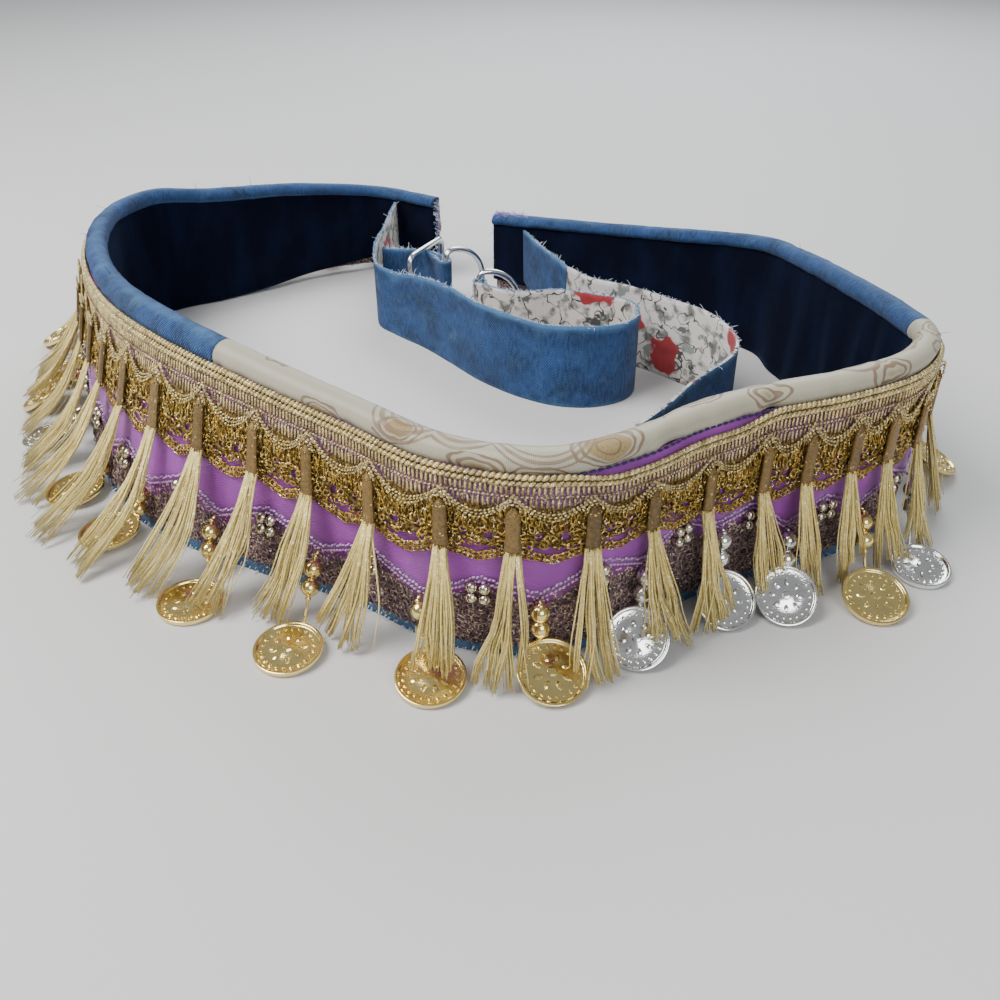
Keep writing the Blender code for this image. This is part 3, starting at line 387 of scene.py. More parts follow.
def thicken(cloth, thickness, inner_material=0):
    """Give a laid cloth its wall, to the inner side."""
    cloth.data.materials.clear()
    for _ in range(inner_material + 1):
        cloth.data.materials.append(FINISHES["denim"])
    wall = cloth.modifiers.new("wall", "SOLIDIFY")
    wall.thickness = thickness * MM
    wall.offset = -1
    wall.use_even_offset = False
    wall.material_offset = inner_material
    apply_modifiers(cloth)
    for vertex in cloth.data.vertices:
        vertex.co.z = max(vertex.co.z, 0.0)
    smooth(cloth)


def outward_of(line, centre):
    """The outward direction of a plan line where it is nearest to a place."""
    gap = np.hypot(line.table[:, 0] + SHIFT[0] - centre.x / MM, line.table[:, 1] + SHIFT[1] - centre.y / MM)
    row = line.table[int(np.argmin(gap))]
    return (row[2], row[3], 0)


def make_cloth(name, grid, place, size, wall, finishes, nodes, worn=None, line=BAND, adjust=None):
    """Cut, lay, thicken and dress a cloth of a flat size in millimetres; returns it and its laid area."""
    cloth = cut_cloth(name, *grid)
    lay(cloth, place, lambda centre: outward_of(line, centre), size[0] * MM, size[1] * MM, worn)
    if adjust:
        adjust(cloth)
    area = cloth_area(cloth)
    thicken(cloth, wall, len(finishes) - 1)
    dress(cloth, [FINISHES[finish] for finish in finishes], nodes)
    return cloth, area


def places_of(mesh):
    """The mesh's places, one row each."""
    places = np.empty(len(mesh.vertices) * 3)
    mesh.vertices.foreach_get("co", places)
    return places.reshape(-1, 3)


def new_piece(name, spots, faces, tones=None):
    """A new piece from places in metres and faces, with a tone for each place if given."""
    mesh = bpy.data.meshes.new(name)
    mesh.from_pydata(spots, [], faces)
    if tones is not None:
        mesh.attributes.new("shade", "FLOAT", "POINT").data.foreach_set("value", tones)
    item = bpy.data.objects.new(name, mesh)
    bpy.context.collection.objects.link(item)
    return item


def tube_faces(base, rings, sides, closed=False):
    """Faces of a tube whose rings of places follow one another; an open tube gets its two ends."""
    faces = []
    for ring in range(rings if closed else rings - 1):
        a, b = base + ring * sides, base + (ring + 1) % rings * sides
        for j in range(sides):
            k = (j + 1) % sides
            faces.append((a + j, a + k, b + k, b + j))
    if not closed:
        end = base + (rings - 1) * sides
        faces.append(tuple(range(base + sides - 1, base - 1, -1)))
        faces.append(tuple(range(end, end + sides)))
    return faces


def turn_faces_out(item):
    pick(item)
    bpy.ops.object.mode_set(mode="EDIT")
    bpy.ops.mesh.select_all(action="SELECT")
    bpy.ops.mesh.normals_make_consistent(inside=False)
    bpy.ops.object.mode_set(mode="OBJECT")


def stamp(name, template, frames, seed):
    """Copy a template at each 4 by 4 frame, in flat millimetres, and join the copies into one mesh."""
    corners, faces = places_of(template.data), [tuple(face.vertices) for face in template.data.polygons]
    frames = np.asarray(frames, float)
    spots = np.einsum("kij,nj->kni", frames[:, :3, :3], corners) + frames[:, None, :3, 3]
    count = len(corners)
    joined = [tuple(i + count * k for i in face) for k in range(len(frames)) for face in faces]
    tone = np.random.default_rng(seed).random(len(frames))
    item = new_piece(name, spots.reshape(-1, 3).tolist(), joined, np.repeat(tone, count))
    bpy.data.objects.remove(template, do_unlink=True)
    smooth(item)
    return item


def drape(item, finish, drop=False, nodes=()):
    """Move a piece made flat (x along, y inward, z up, millimetres) on to the band and dress it."""
    s, inward, height = places_of(item.data).T
    if drop:
        height = trim_height(s, height)
    item.data.vertices.foreach_set("co", on_band(s, -inward, height).ravel())
    item.data.update()
    dress(item, [FINISHES[finish]], nodes)
    return item


def frame_at(place, along, face, size):
    """A frame whose x runs along a path and whose y looks inward, scaled by size."""
    x = np.asarray(along, float)
    x = x / np.linalg.norm(x)
    z = np.cross(x, face)
    z = z / np.linalg.norm(z)
    y = np.cross(z, x)
    frame_matrix = np.eye(4)
    frame_matrix[:3, 0], frame_matrix[:3, 1], frame_matrix[:3, 2] = x * size, y * size, z * size
    frame_matrix[:3, 3] = place
    return frame_matrix


def along_path(path, pitch):
    """Evenly spaced (place, heading) pairs on a path of flat points."""
    path = np.asarray(path, float)
    run = np.linalg.norm(path[1:] - path[:-1], axis=1)
    far = np.concatenate(([0.0], np.cumsum(run)))
    places = np.arange(pitch / 2, far[-1], pitch)
    spots = np.column_stack([np.interp(places, far, column) for column in path.T])
    ahead = np.column_stack([np.interp(places + 0.2, far, column) for column in path.T])
    behind = np.column_stack([np.interp(places - 0.2, far, column) for column in path.T])
    return list(zip(spots, ahead - behind))


def twist_grain(slant, segments, rings, size=(1.35, 0.95, 0.66)):
    """One plump turn of a twisted rope of radius one."""
    deselect()
    bpy.ops.mesh.primitive_uv_sphere_add(segments=segments, ring_count=rings, radius=1)
    grain = bpy.context.object
    grain.scale = size
    bpy.ops.object.transform_apply(location=False, rotation=False, scale=True)
    grain.rotation_euler = (0, math.radians(-slant), 0)
    bpy.ops.object.transform_apply(location=False, rotation=True, scale=False)
    return grain


def rope(name, paths, radius, pitch, seed, slant, segments, rings):
    """Twisted ropes along flat paths, one plump turn at each step."""
    grain = twist_grain(slant, segments, rings)
    frames = [frame_at(spot, heading, (0, 1, 0), radius) for path in paths
              for spot, heading in along_path(path, pitch)]
    return stamp(name, grain, frames, seed)


def link_loop(major_segments, minor_segments, thickness, stretch=1.0):
    """A small thread loop of radius one that faces the viewer."""
    deselect()
    bpy.ops.mesh.primitive_torus_add(major_segments=major_segments, minor_segments=minor_segments,
                                     major_radius=1, minor_radius=thickness,
                                     rotation=(math.radians(90), 0, 0))
    loop = bpy.context.object
    loop.scale = (stretch, 1, 1)
    bpy.ops.object.transform_apply(location=True, rotation=True, scale=True)
    return loop


def turned_frame(place, tilt, yaw, spin, size):
    turn = Matrix.Rotation(yaw, 4, "Z") @ Matrix.Rotation(tilt, 4, "X") @ Matrix.Rotation(spin, 4, "Y")
    return np.array(Matrix.Translation(place) @ turn @ Matrix.Diagonal((*size, 1)))


# Materials

class Nodes:
    """Short names for the shader nodes of one tree."""

    def __init__(self, tree):
        self.tree = tree

    def node(self, kind, values=(), **settings):
        item = self.tree.nodes.new("ShaderNode" + kind)
        for key, value in settings.items():
            setattr(item, key, value)
        for key, value in dict(values).items():
            if isinstance(value, bpy.types.NodeSocket):
                self.tree.links.new(value, item.inputs[key])
            else:
                item.inputs[key].default_value = value
        return item

    def mixed(self, factor, a, b):
        a, b = (side if isinstance(side, bpy.types.NodeSocket) else (*side[:3], 1.0) for side in (a, b))
        return self.node("Mix", {0: factor, 6: a, 7: b}, data_type="RGBA").outputs[2]

    def maths(self, operation, *values):
        return self.node("Math", enumerate(values), operation=operation).outputs[0]

    def add(self, a, b):
        return self.maths("ADD", a, b)

    def times(self, a, b):
        return self.maths("MULTIPLY", a, b)

    def above(self, value, limit):
        return self.maths("GREATER_THAN", value, limit)

    def most(self, first, *others):
        for other in others:
            first = self.maths("MAXIMUM", first, other)
        return first

    def near(self, value, target, width):
        """One where the value is within width of the target."""
        return self.maths("COMPARE", value, target, width)

    def between(self, value, low, high, to_low=0.0, to_high=1.0):
        return self.node("MapRange", {"Value": value, "From Min": low, "From Max": high,
                                      "To Min": to_low, "To Max": to_high}).outputs["Result"]

    def noise(self, vector, size_mm, detail=3.0, rough=0.5):
        return self.node("TexNoise", {"Vector": vector, "Scale": 1000 / size_mm, "Detail": detail,
                                      "Roughness": rough}).outputs["Fac"]

    def stripes(self, vector, period_mm, direction="X", distort=0.0):
        return self.node("TexWave", {"Vector": vector, "Scale": 314.16 / period_mm, "Distortion": distort,
                                     "Detail": 1.0, "Detail Scale": 1.0},
                         bands_direction=direction).outputs["Fac"]

    def mapped(self, vector, turn=0.0, scale=(1, 1, 1)):
        values = {"Vector": vector, "Rotation": (0, 0, turn), "Scale": scale}
        return self.node("Mapping", values).outputs["Vector"]

    def cells(self, vector, scale, randomness=1.0):
        """Distance from a cell's middle, then three random numbers for the cell."""
        cell = self.node("TexVoronoi", {"Vector": vector, "Scale": scale, "Randomness": randomness})
        split = self.node("SeparateColor", {"Color": cell.outputs["Color"]})
        return cell.outputs["Distance"], *split.outputs[:3]


class Finish(Nodes):
    """A material being built: its nodes, its shader and its usual coordinates."""

    def __init__(self, name, roughness=0.5, metallic=0.0, **sockets):
        self.material = bpy.data.materials.new(name)
        self.material.use_nodes = True
        super().__init__(self.material.node_tree)
        self.shader = self.tree.nodes["Principled BSDF"]
        for key, value in {"Roughness": roughness, "Metallic": metallic, **sockets}.items():
            self.shader.inputs[key.replace("_", " ")].default_value = value
        coordinates = self.node("TexCoord").outputs
        self.object, self.uv = coordinates["Object"], coordinates["UV"]

    def attribute(self, name):
        return self.node("Attribute", attribute_name=name).outputs["Fac"]

    def rough_edge(self, distance, size_mm, reach, detail):
        """A distance whose rim is moved in and out by noise."""
        return self.add(distance, self.between(self.noise(self.uv, size_mm, detail), 0.3, 0.7, -reach, reach))

    def group(self, tree, **values):
        return self.node("Group", values, node_tree=tree).outputs

    def feed(self, key, socket):
        self.tree.links.new(socket, self.shader.inputs[key])

    def finish(self, factor, a, b, height, distance_mm):
        """Feed the shader a mixed colour and a bump, and hand over the material."""
        self.feed("Base Color", self.mixed(factor, a, b))
        bump = self.node("Bump", {"Height": height, "Distance": distance_mm * MM, "Strength": 1.0})
        self.feed("Normal", bump.outputs["Normal"])
        return self.material


def tinted(colour, amount):
    return [min(channel * amount, 1) for channel in colour]


def new_group(name, number, outputs):
    """A node group that takes a vector and one number and gives numbers."""
    group = bpy.data.node_groups.new(name, "ShaderNodeTree")
    group.interface.new_socket(name="Vector", in_out="INPUT", socket_type="NodeSocketVector")
    group.interface.new_socket(name=number, in_out="INPUT", socket_type="NodeSocketFloat")
    for label in outputs:
        group.interface.new_socket(name=label, in_out="OUTPUT", socket_type="NodeSocketFloat")
    return Nodes(group), group.nodes.new("NodeGroupInput").outputs, group.nodes.new("NodeGroupOutput").inputs


def glitter_group():
    """Random bright specks, partly real glitter and partly painted glints, and a tone for each grain."""
    t, enter, leave = new_group("glitter", "Share", ("Speck", "Tone"))
    _, red, green, _ = t.cells(enter["Vector"], GLITTER_SCALE)
    t.tree.links.new(t.above(red, enter["Share"]), leave["Speck"])
    t.tree.links.new(green, leave["Tone"])
    return t.tree


def wear_group():
    """Soft patches that grow where the piece's worn attribute is high."""
    t, enter, leave = new_group("wear", "Worn", ("Mask",))
    lifted = t.add(t.noise(enter["Vector"], WEAR_PATCH, 4.0, 0.6), enter["Worn"])
    t.tree.links.new(t.between(lifted, 0.6, 1.15), leave["Mask"])
    return t.tree


def denim_finish(name, wear, colours, lift=0.0):
    """Blue twill with slanting pale flecks, rubbed pale in patches and at worn places."""
    f = Finish(name, 0.9, Sheen_Weight=0.06, Sheen_Roughness=0.5, Specular_IOR_Level=0.25)
    twill = f.stripes(f.mapped(f.uv, math.radians(35)), 0.9, "X", 0.8)
    flecks = f.noise(f.mapped(f.uv, scale=(1, 0.25, 1)), 1.1, 2.0)
    patch = f.group(wear, Vector=f.uv, Worn=f.add(f.attribute("worn"), lift))["Mask"]
    cloudy = f.between(f.noise(f.uv, 17.0, 4.0, 0.62), 0.36, 0.66)
    blue = f.mixed(cloudy, tinted(colours.denim, 0.5), tinted(colours.denim, 1.25))
    rubbed = f.mixed(patch, blue, colours.denim_worn)
    pale = f.between(f.times(twill, flecks), 0.3, 0.62, 0.0, 0.3)
    return f.finish(pale, rubbed, (0.24, 0.36, 0.50), f.add(twill, f.times(flecks, 0.8)), 0.16)


def velvet_finish(colours):
    """Nearly black navy pile with painted sheen: a little lighter in soft upright streaks, set at random."""
    f = Finish("velvet", 0.95, Sheen_Weight=0.12, Sheen_Roughness=0.4, Specular_IOR_Level=0.1,
               Sheen_Tint=(0.10, 0.18, 0.45, 1))
    # Lighter upright streaks of painted sheen on the dark pile.
    sheen_streaks = f.between(f.noise(f.mapped(f.uv, scale=(1, 0.3, 1)), 16.0, 3.0), 0.45, 0.75)
    return f.finish(sheen_streaks, colours.velvet, tinted(colours.velvet, 2.4), f.noise(f.uv, 0.9, 2.0), 0.12)


def brocade_finish(colours):
    """Cream satin with golden ovals, thin lines round them and wide thin arcs."""
    f = Finish("brocade", 0.42, Sheen_Weight=0.15)
    oval, kind, _, _ = f.cells(f.mapped(f.uv, 0.6, (0.7, 1.15, 1)), 54.0, 0.8)
    chosen = f.above(kind, 0.3)
    away = f.rough_edge(oval, 8.0, 0.05, 1.0)
    areas = f.times(f.between(away, 0.30, 0.33, 1.0, 0.0), chosen)
    lines = f.most(f.near(away, 0.36, 0.02), f.near(away, 0.45, 0.02), f.near(away, 0.17, 0.018))
    wide = f.cells(f.uv, 24.0, 0.7)[0]
    arcs = f.most(f.near(wide, 0.40, 0.009), f.near(wide, 0.45, 0.014), f.near(wide, 0.50, 0.009))
    scroll = f.most(f.times(lines, chosen), f.times(arcs, 0.8))
    threads = f.stripes(f.uv, 0.6, "X", 0.3)
    grain = f.noise(f.uv, 0.8, 2.0)
    golden = f.mixed(grain, (0.16, 0.11, 0.04), (0.42, 0.31, 0.13))
    creamy = f.mixed(f.between(threads, 0.1, 0.9), tinted(colours.cream, 0.82), colours.cream)
    f.feed("Roughness", f.between(areas, 0.0, 1.0, 0.38, 0.6))
    return f.finish(f.times(scroll, 0.85), f.mixed(areas, creamy, golden), (0.17, 0.10, 0.05),
                    f.add(f.times(threads, 0.5), f.add(f.times(grain, areas), scroll)), 0.12)


def satin_finish(colours):
    """Purple satin with a fine slanting rib, painted highlights on the rib's crests and soft cloudy shading.
    """
    f = Finish("satin", 0.42, Sheen_Weight=0.3, Sheen_Roughness=0.3, Anisotropic=0.4)
    rib = f.stripes(f.mapped(f.uv, math.radians(-28)), 0.7, "Y", 0.4)
    cloud = f.noise(f.uv, 22.0, 3.0)
    base = f.mixed(f.between(cloud, 0.35, 0.7), tinted(colours.satin, 0.68), colours.satin)
    f.feed("Roughness", f.between(cloud, 0.3, 0.7, 0.34, 0.5))
    # The pale lilac on the rib's crests is a painted highlight.
    return f.finish(f.between(rib, 0.5, 1.0, 0.0, 0.22), base, (0.58, 0.24, 0.66), rib, 0.1)


def thread_finish(glitter, name, colour, dark, roughness, metallic, share, speck):
    """Metal-wrapped thread: a tone for each turn, fine wrapping lines and bright specks, partly glitter and
    partly painted glints.
    """
    f = Finish(name, roughness, metallic)
    out = f.group(glitter, Vector=f.object, Share=share)
    tone = f.add(f.times(f.attribute("shade"), 0.55), f.times(out["Tone"], 0.45))
    base = f.mixed(tone, tinted(colour, dark), tinted(colour, 1.15))
    f.feed("Roughness", f.between(out["Speck"], 0.0, 1.0, roughness, 0.15))
    # The pale speck colour is partly glitter in the thread and partly painted glints.
    return f.finish(f.times(out["Speck"], 0.85), base, speck, f.stripes(f.object, 0.5, "DIAGONAL", 1.5), 0.1)


def braid_ground_finish(glitter):
    """The braid's ground: purple net under the ribs, brown-gold threads under the glitter loops, darkened
    nearly to black as painted shade between the loops.
    """
    f = Finish("braid_ground", 0.6, 0.25)
    out = f.group(glitter, Vector=f.uv, Share=0.9)
    height = f.node("SeparateXYZ", {"Vector": f.uv}).outputs["Y"]
    purple = f.mixed(out["Tone"], (0.16, 0.06, 0.17), (0.42, 0.22, 0.40))
    # The brown runs down to near black: brown-gold thread, and painted shade between the glitter loops.
    brown = f.mixed(out["Tone"], (0.05, 0.025, 0.012), (0.34, 0.21, 0.05))
    ground = f.mixed(f.between(height, 0.0155, 0.0175), brown, purple)
    return f.finish(f.times(out["Speck"], 0.8), ground, (0.9, 0.72, 0.34),
                    f.add(f.stripes(f.uv, 1.1), out["Tone"]), 0.3)


def lace_finish(colours, glitter):
    """Crochet ground: dark gaps, purple-brown threads, a few specks of painted highlight and a satin edge."""
    f = Finish("lace_ground", 0.7, 0.15)
    cells = f.node("TexVoronoi", {"Vector": f.uv, "Scale": 560.0}, feature="DISTANCE_TO_EDGE")
    out = f.group(glitter, Vector=f.uv, Share=0.9)
    tangle = f.noise(f.uv, 3.0, 4.0, 0.7)
    edge = f.attribute("worn")
    gaps = f.mixed(tangle, (0.018, 0.008, 0.020), (0.12, 0.06, 0.11))
    ground = f.mixed(edge, gaps, tinted(colours.satin, 0.75))
    thread = f.mixed(out["Tone"], (0.16, 0.08, 0.11), (0.40, 0.27, 0.24))
    web = f.times(f.between(cells.outputs["Distance"], 0.02, 0.16, 1.0, 0.0),
                  f.between(edge, 0.0, 1.0, 1.0, 0.15))
    # The pale specks are painted highlights on the threads.
    return f.finish(out["Speck"], f.mixed(web, ground, thread), (0.75, 0.6, 0.4), f.add(web, tangle), 0.4)


def print_finish(colours):
    """Off-white cloth with red blooms, dark stems and grey-green leaves and smears at random."""
    f = Finish("flower_print", 0.85, Sheen_Weight=0.1)
    wobble = f.node("TexNoise", {"Vector": f.uv, "Scale": 60.0, "Detail": 2.0}).outputs["Color"]
    shift = f.node("VectorMath", {0: wobble, 1: (0.010, 0.010, 0.0)}, operation="MULTIPLY").outputs[0]
    moved = f.node("VectorMath", {0: f.uv, 1: shift}, operation="ADD").outputs[0]
    bloom, kind, _, _ = f.cells(moved, 38.0, 0.75)
    leaf, _, leaf_kind, leaf_tone = f.cells(moved, 110.0)
    red = f.above(kind, 0.5)
    petal = f.between(f.rough_edge(bloom, 7.0, 0.07, 1.0), 0.42, 0.46, 1.0, 0.0)
    leaf_shape = f.between(f.rough_edge(leaf, 3.0, 0.22, 2.0), 0.30, 0.42, 1.0, 0.0)
    leaves = f.times(leaf_shape, f.above(leaf_kind, 0.55))
    reds = f.mixed(f.noise(f.uv, 6.0, 3.0), (0.16, 0.006, 0.012), (0.50, 0.045, 0.05))
    stems = f.near(f.noise(moved, 13.0, 2.0), 0.5, 0.012)
    smear = f.between(f.noise(moved, 7.0, 3.0), 0.5, 0.64)
    plain = f.mixed(stems, f.mixed(smear, colours.print_ground, (0.16, 0.16, 0.15)), (0.06, 0.06, 0.055))
    ground = f.mixed(leaves, plain, f.mixed(leaf_tone, (0.05, 0.045, 0.05), (0.26, 0.30, 0.26)))
    petals = f.mixed(petal, ground, f.mixed(red, ground, reds))
    heart = f.times(f.between(bloom, 0.05, 0.25, 0.8, 0.0), red)
    weave = f.add(f.stripes(f.uv, 0.7), f.stripes(f.uv, 0.7, "Y"))
    return f.finish(heart, petals, (0.16, 0.006, 0.012), weave, 0.1)


def metal_finish(name, colour, roughness, mark):
    """Polished metal with soft cloudy wear and fine scratches."""
    f = Finish(name, roughness, 1.0)
    cloud = f.noise(f.object, 5.0, 4.0)
    scratch = f.noise(f.mapped(f.object, scale=(1, 7, 3)), 3.0, 2.0)
    f.feed("Roughness", f.between(f.times(cloud, scratch), 0.1, 0.45, roughness * 0.6, roughness * 1.7))
    return f.finish(f.between(cloud, 0.4, 0.75, 0.0, mark), colour, tinted(colour, 0.45), scratch, 0.03)


def cotton_finish(name, colour):
    """Plain spun thread: a slightly uneven tone and a fine twist."""
    f = Finish(name, 0.7)
    return f.finish(f.noise(f.object, 1.5, 2.0), tinted(colour, 0.55), tinted(colour, 1.3),
                    f.stripes(f.object, 0.5, "DIAGONAL"), 0.08)


FINISHES = {}


def make_finishes(colours):
    glitter, wear = glitter_group(), wear_group()
    threads = (
        # key, name, colour, dark share, roughness, metallic, share without specks, speck
        # The lilac cord's pale specks are painted glints.
        ("lilac", "lilac_cord", colours.lilac, 0.45, 0.5, 0.1, 0.97, (0.8, 0.65, 0.9)),
        ("gold", "gold_thread", colours.gold, 0.3, 0.38, 0.75, 0.9, (1.0, 0.9, 0.62)),
        ("crust", "glitter_loops", colours.crust, 0.1, 0.3, 0.85, 0.86, (1.0, 0.86, 0.46)),
        ("net", "net_thread", (0.46, 0.33, 0.31), 0.2, 0.38, 0.4, 0.9, (1.0, 0.9, 0.62)),
        ("silk", "tassel_silk", colours.silk, 0.48, 0.36, 0.15, 0.94, (1.0, 0.93, 0.60)),
        ("head", "tassel_head", (0.27, 0.17, 0.06), 0.3, 0.38, 0.4, 0.985, (0.8, 0.6, 0.3)),
    )
    FINISHES.update({key: thread_finish(glitter, *values) for key, *values in threads})
    FINISHES.update({
        "denim": denim_finish("denim", wear, colours),
        "denim_strap": denim_finish("denim_strap", wear, colours, 0.06),
        "velvet": velvet_finish(colours),
        "brocade": brocade_finish(colours),
        "satin": satin_finish(colours),
        "gold_ground": braid_ground_finish(glitter),
        "lace": lace_finish(colours, glitter),
        "print": print_finish(colours),
        "brass": metal_finish("coin_gold", colours.brass, 0.16, 0.25),
        "silver": metal_finish("coin_silver", colours.silver, 0.12, 0.4),
        "pale_metal": metal_finish("small_beads", (0.72, 0.66, 0.52), 0.14, 0.6),
        "steel": metal_finish("ring_steel", (0.83, 0.83, 0.84), 0.14, 0.1),
        "navy": cotton_finish("navy_thread", (0.015, 0.02, 0.09)),
        "black": cotton_finish("black_thread", (0.02, 0.018, 0.025)),
        "pale": cotton_finish("frayed_thread", (0.62, 0.70, 0.80)),
        "purple_fuzz": cotton_finish("purple_fuzz", (0.42, 0.25, 0.60)),
    })


def settings():
    return bpy.context.scene.coin_belt_sizes


class COINBELT_OT_finishes(bpy.types.Operator):
    """Build the materials of the cloths, threads and metals"""

    bl_idname = "coinbelt.finishes"
    bl_label = "Finishes"

    def execute(self, context):
        make_finishes(context.scene.coin_belt_colours)
        return {"FINISHED"}


def fold_depth(s, v):
    """How far the lining stands off, from its listed folds; v is the share of its height."""
    depth = np.zeros_like(s)
    for where, half, deep, slant in LINING_FOLDS:
        away = (s - where - slant * (0.5 - v)) / half
        depth = np.maximum(depth, deep * np.exp(-away * away * 1.6))
    return depth * np.clip(1.15 - v * v * 0.95, 0, 1)


class COINBELT_OT_band(bpy.types.Operator):
    """Cut the denim band and its velvet lining, lay them along the hip line and give them their walls"""

    bl_idname = "coinbelt.band"
    bl_label = "Band and lining"

    def execute(self, context):
        def outer(u, v):
            x, y, nx, ny, high, foot, lean = BAND.at(u * LENGTH)
            rise = foot + (high - CORE_TOP_INSET - foot) * v
            return on_band(u * LENGTH, -0.1 + 0.12 * np.sin(u * 310) * (1 - v), rise, full=False)

        def rubbed(u, v):
            return np.clip((0.11 - v) / 0.05, 0, 1) * 1.2

        def inner(u, v):
            s = u * LENGTH
            x, y, nx, ny, high, foot, lean = BAND.at(s)
            low = foot + 0.6
            rise = low + (high - CORE_TOP_INSET - 1.0 - low) * v
            return on_band(s, -4.3 - fold_depth(s, v), rise, full=False)

        size = (LENGTH, BELT_HEIGHT)
        denim, denim_area = make_cloth("band_denim", (380, 16), outer, size, 2.0, ["denim"], ["denim_outer"],
                                       rubbed)
        lining, lining_area = make_cloth("band_velvet", (460, 16), inner, size, 1.4, ["velvet"],
                                         ["velvet_lining"],
                                         adjust=lambda cloth: cloth.data.flip_normals())
        return {"FINISHED"}


def roll_profile(v):
    """Outward distance and height on the rolled binding for each share of the cloth's width."""
    path = smooth_rows(ROLL_PATH, 8)
    far = np.concatenate(([0.0], np.cumsum(np.hypot(*(path[1:] - path[:-1]).T))))
    return np.interp(v * far[-1], far, path[:, 0]), np.interp(v * far[-1], far, path[:, 1]), far[-1]


class COINBELT_OT_bindings(bpy.types.Operator):
    """Roll the denim and brocade bindings over the band's top edge, with puckers at their stitching"""

    bl_idname = "coinbelt.bindings"
    bl_label = "Bindings"

    def execute(self, context):
        stretches = (
            ("roll_denim_left", "denim", "binding_denim_left", 0.0, BROCADE_START - 0.3, 1),
            ("roll_brocade_front", "brocade", "binding_brocade_front", BROCADE_START, BROCADE_END, 2),
            ("roll_denim_right", "denim", "binding_denim_right", BROCADE_END + 0.3, LENGTH, 3),
        )
        for name, finish, node, start, end, seed in stretches:
            dice = np.random.default_rng(seed)
            pull_most = 0.75 if finish == "brocade" else 0.5
            bumps = [(dice.uniform(start, end), dice.uniform(1.8, 4.5), dice.uniform(-pull_most, 0.42))
                     for _ in range(int((end - start) / 5.5))]
            width = roll_profile(np.array([0.0]))[2]

            def rolled(u, v):
                s = start + (end - start) * u
                out, rise, _ = roll_profile(v)
                pull = np.zeros_like(s)
                for where, half, deep in bumps:
                    pull += deep * np.exp(-((s - where - 3 * (v - 0.5)) / half) ** 2)
                pull *= np.abs(np.cos(v * math.pi)) * 0.8 + 0.2
                top = BAND.at(s)[4]
                height = top + (rise + pull * np.sin(v * math.pi) * 0.6) * top / BELT_HEIGHT
                return on_band(s, out + pull * np.cos(v * math.pi), height, full=False)

            def rubbed(u, v):
                return 0.3 * np.exp(-((v - 0.45) / 0.14) ** 2) + 0.2 * (v > 0.93)

            cloth, area = make_cloth(name, (int((end - start) / 1.4), 18), rolled, (end - start, width), 0.9,
                                     [finish], [node], rubbed, adjust=self.face_up)
        return {"FINISHED"}

    def face_up(self, cloth):
        middle = cloth.data.polygons[len(cloth.data.polygons) // 2]
        if middle.normal.z < 0:
            cloth.data.flip_normals()


class COINBELT_OT_stitches(bpy.types.Operator):
    """Sew the navy stitches along the binding and leave loose threads at the band's ends"""

    bl_idname = "coinbelt.stitches"
    bl_label = "Stitches"

    def execute(self, context):
        dice = random.Random(21)
        grain = twist_grain(0, 6, 4, (1.0, 0.42, 0.36))
        pitch = settings().stitch_pitch / MM
        frames = []
        for k in range(int(LENGTH / pitch)):
            s = (k + 0.5) * pitch
            place = (s, -STITCH_OUT, STITCH_HEIGHT + dice.uniform(-0.12, 0.12))
            frames.append(turned_frame(place, 0, 0, dice.uniform(-0.12, 0.12), (pitch * 0.42,) * 3))
        drape(stamp("navy_stitches", grain, frames, 5), "navy")
        self.ravel("end_fray_left", 0.0, -1, dice)
        self.ravel("end_fray_right", LENGTH, 1, dice)
        fuzz = []
        for k in range(260):
            s = LENGTH - abs(dice.gauss(0, 9))
            top = float(BAND.at(s)[4])
            start = band_spot(s, dice.uniform(-4, 3), top + dice.uniform(-1.6, 0.2), False)
            fuzz.append((start, Vector((dice.gauss(0, 1), dice.gauss(0, 1), abs(dice.gauss(0, 1)))),
                         dice.uniform(1.0, 3.6)))
        loose_threads("end_fuzz", fuzz, 0.2, "purple_fuzz")
        lower = []
        for k in range(620):
            s = dice.uniform(150, 900)
            x, y, nx, ny, top, foot, lean = band_at(s)
            start = band_spot(s, dice.uniform(-0.3, 0.1), foot + dice.uniform(0.5, 2.2), False)
            lower.append((start, Vector((nx, ny, dice.uniform(-0.9, 0.3))), dice.uniform(0.8, 2.2)))
        loose_threads("lower_fray", lower, 0.22, "pale")
        strays = []
        for s in (118, 131, 137, 152, 214, 265, 330, 612, 741, 868):
            start = band_spot(s, dice.uniform(-3, 2), float(BAND.at(s)[4]) - 1, False)
            strays.append((start, Vector((dice.gauss(0, 1), dice.gauss(0, 1), dice.uniform(0.6, 1.4))),
                           dice.uniform(5.0, 9.0)))
        loose_threads("stray_threads", strays, 0.14, "navy")
        return {"FINISHED"}

    def ravel(self, name, end, heading, dice):
        """Ravelled threads along one cut end of the band."""
        x, y, nx, ny, top, foot, lean = band_at(end)
        ahead = Vector((-ny, nx, 0)) * heading
        roots = []
        for k in range(110):
            start = band_spot(end, dice.uniform(-5.0, 1.0), dice.uniform(foot, top - 1), False) - ahead * 0.4
            roots.append((start, ahead + Vector((dice.gauss(0, 0.5), dice.gauss(0, 0.5), dice.gauss(0, 0.5))),
                          dice.uniform(0.8, 3.4) if dice.random() < 0.85 else dice.uniform(4, 7)))
        loose_threads(name, roots, 0.17, "pale")


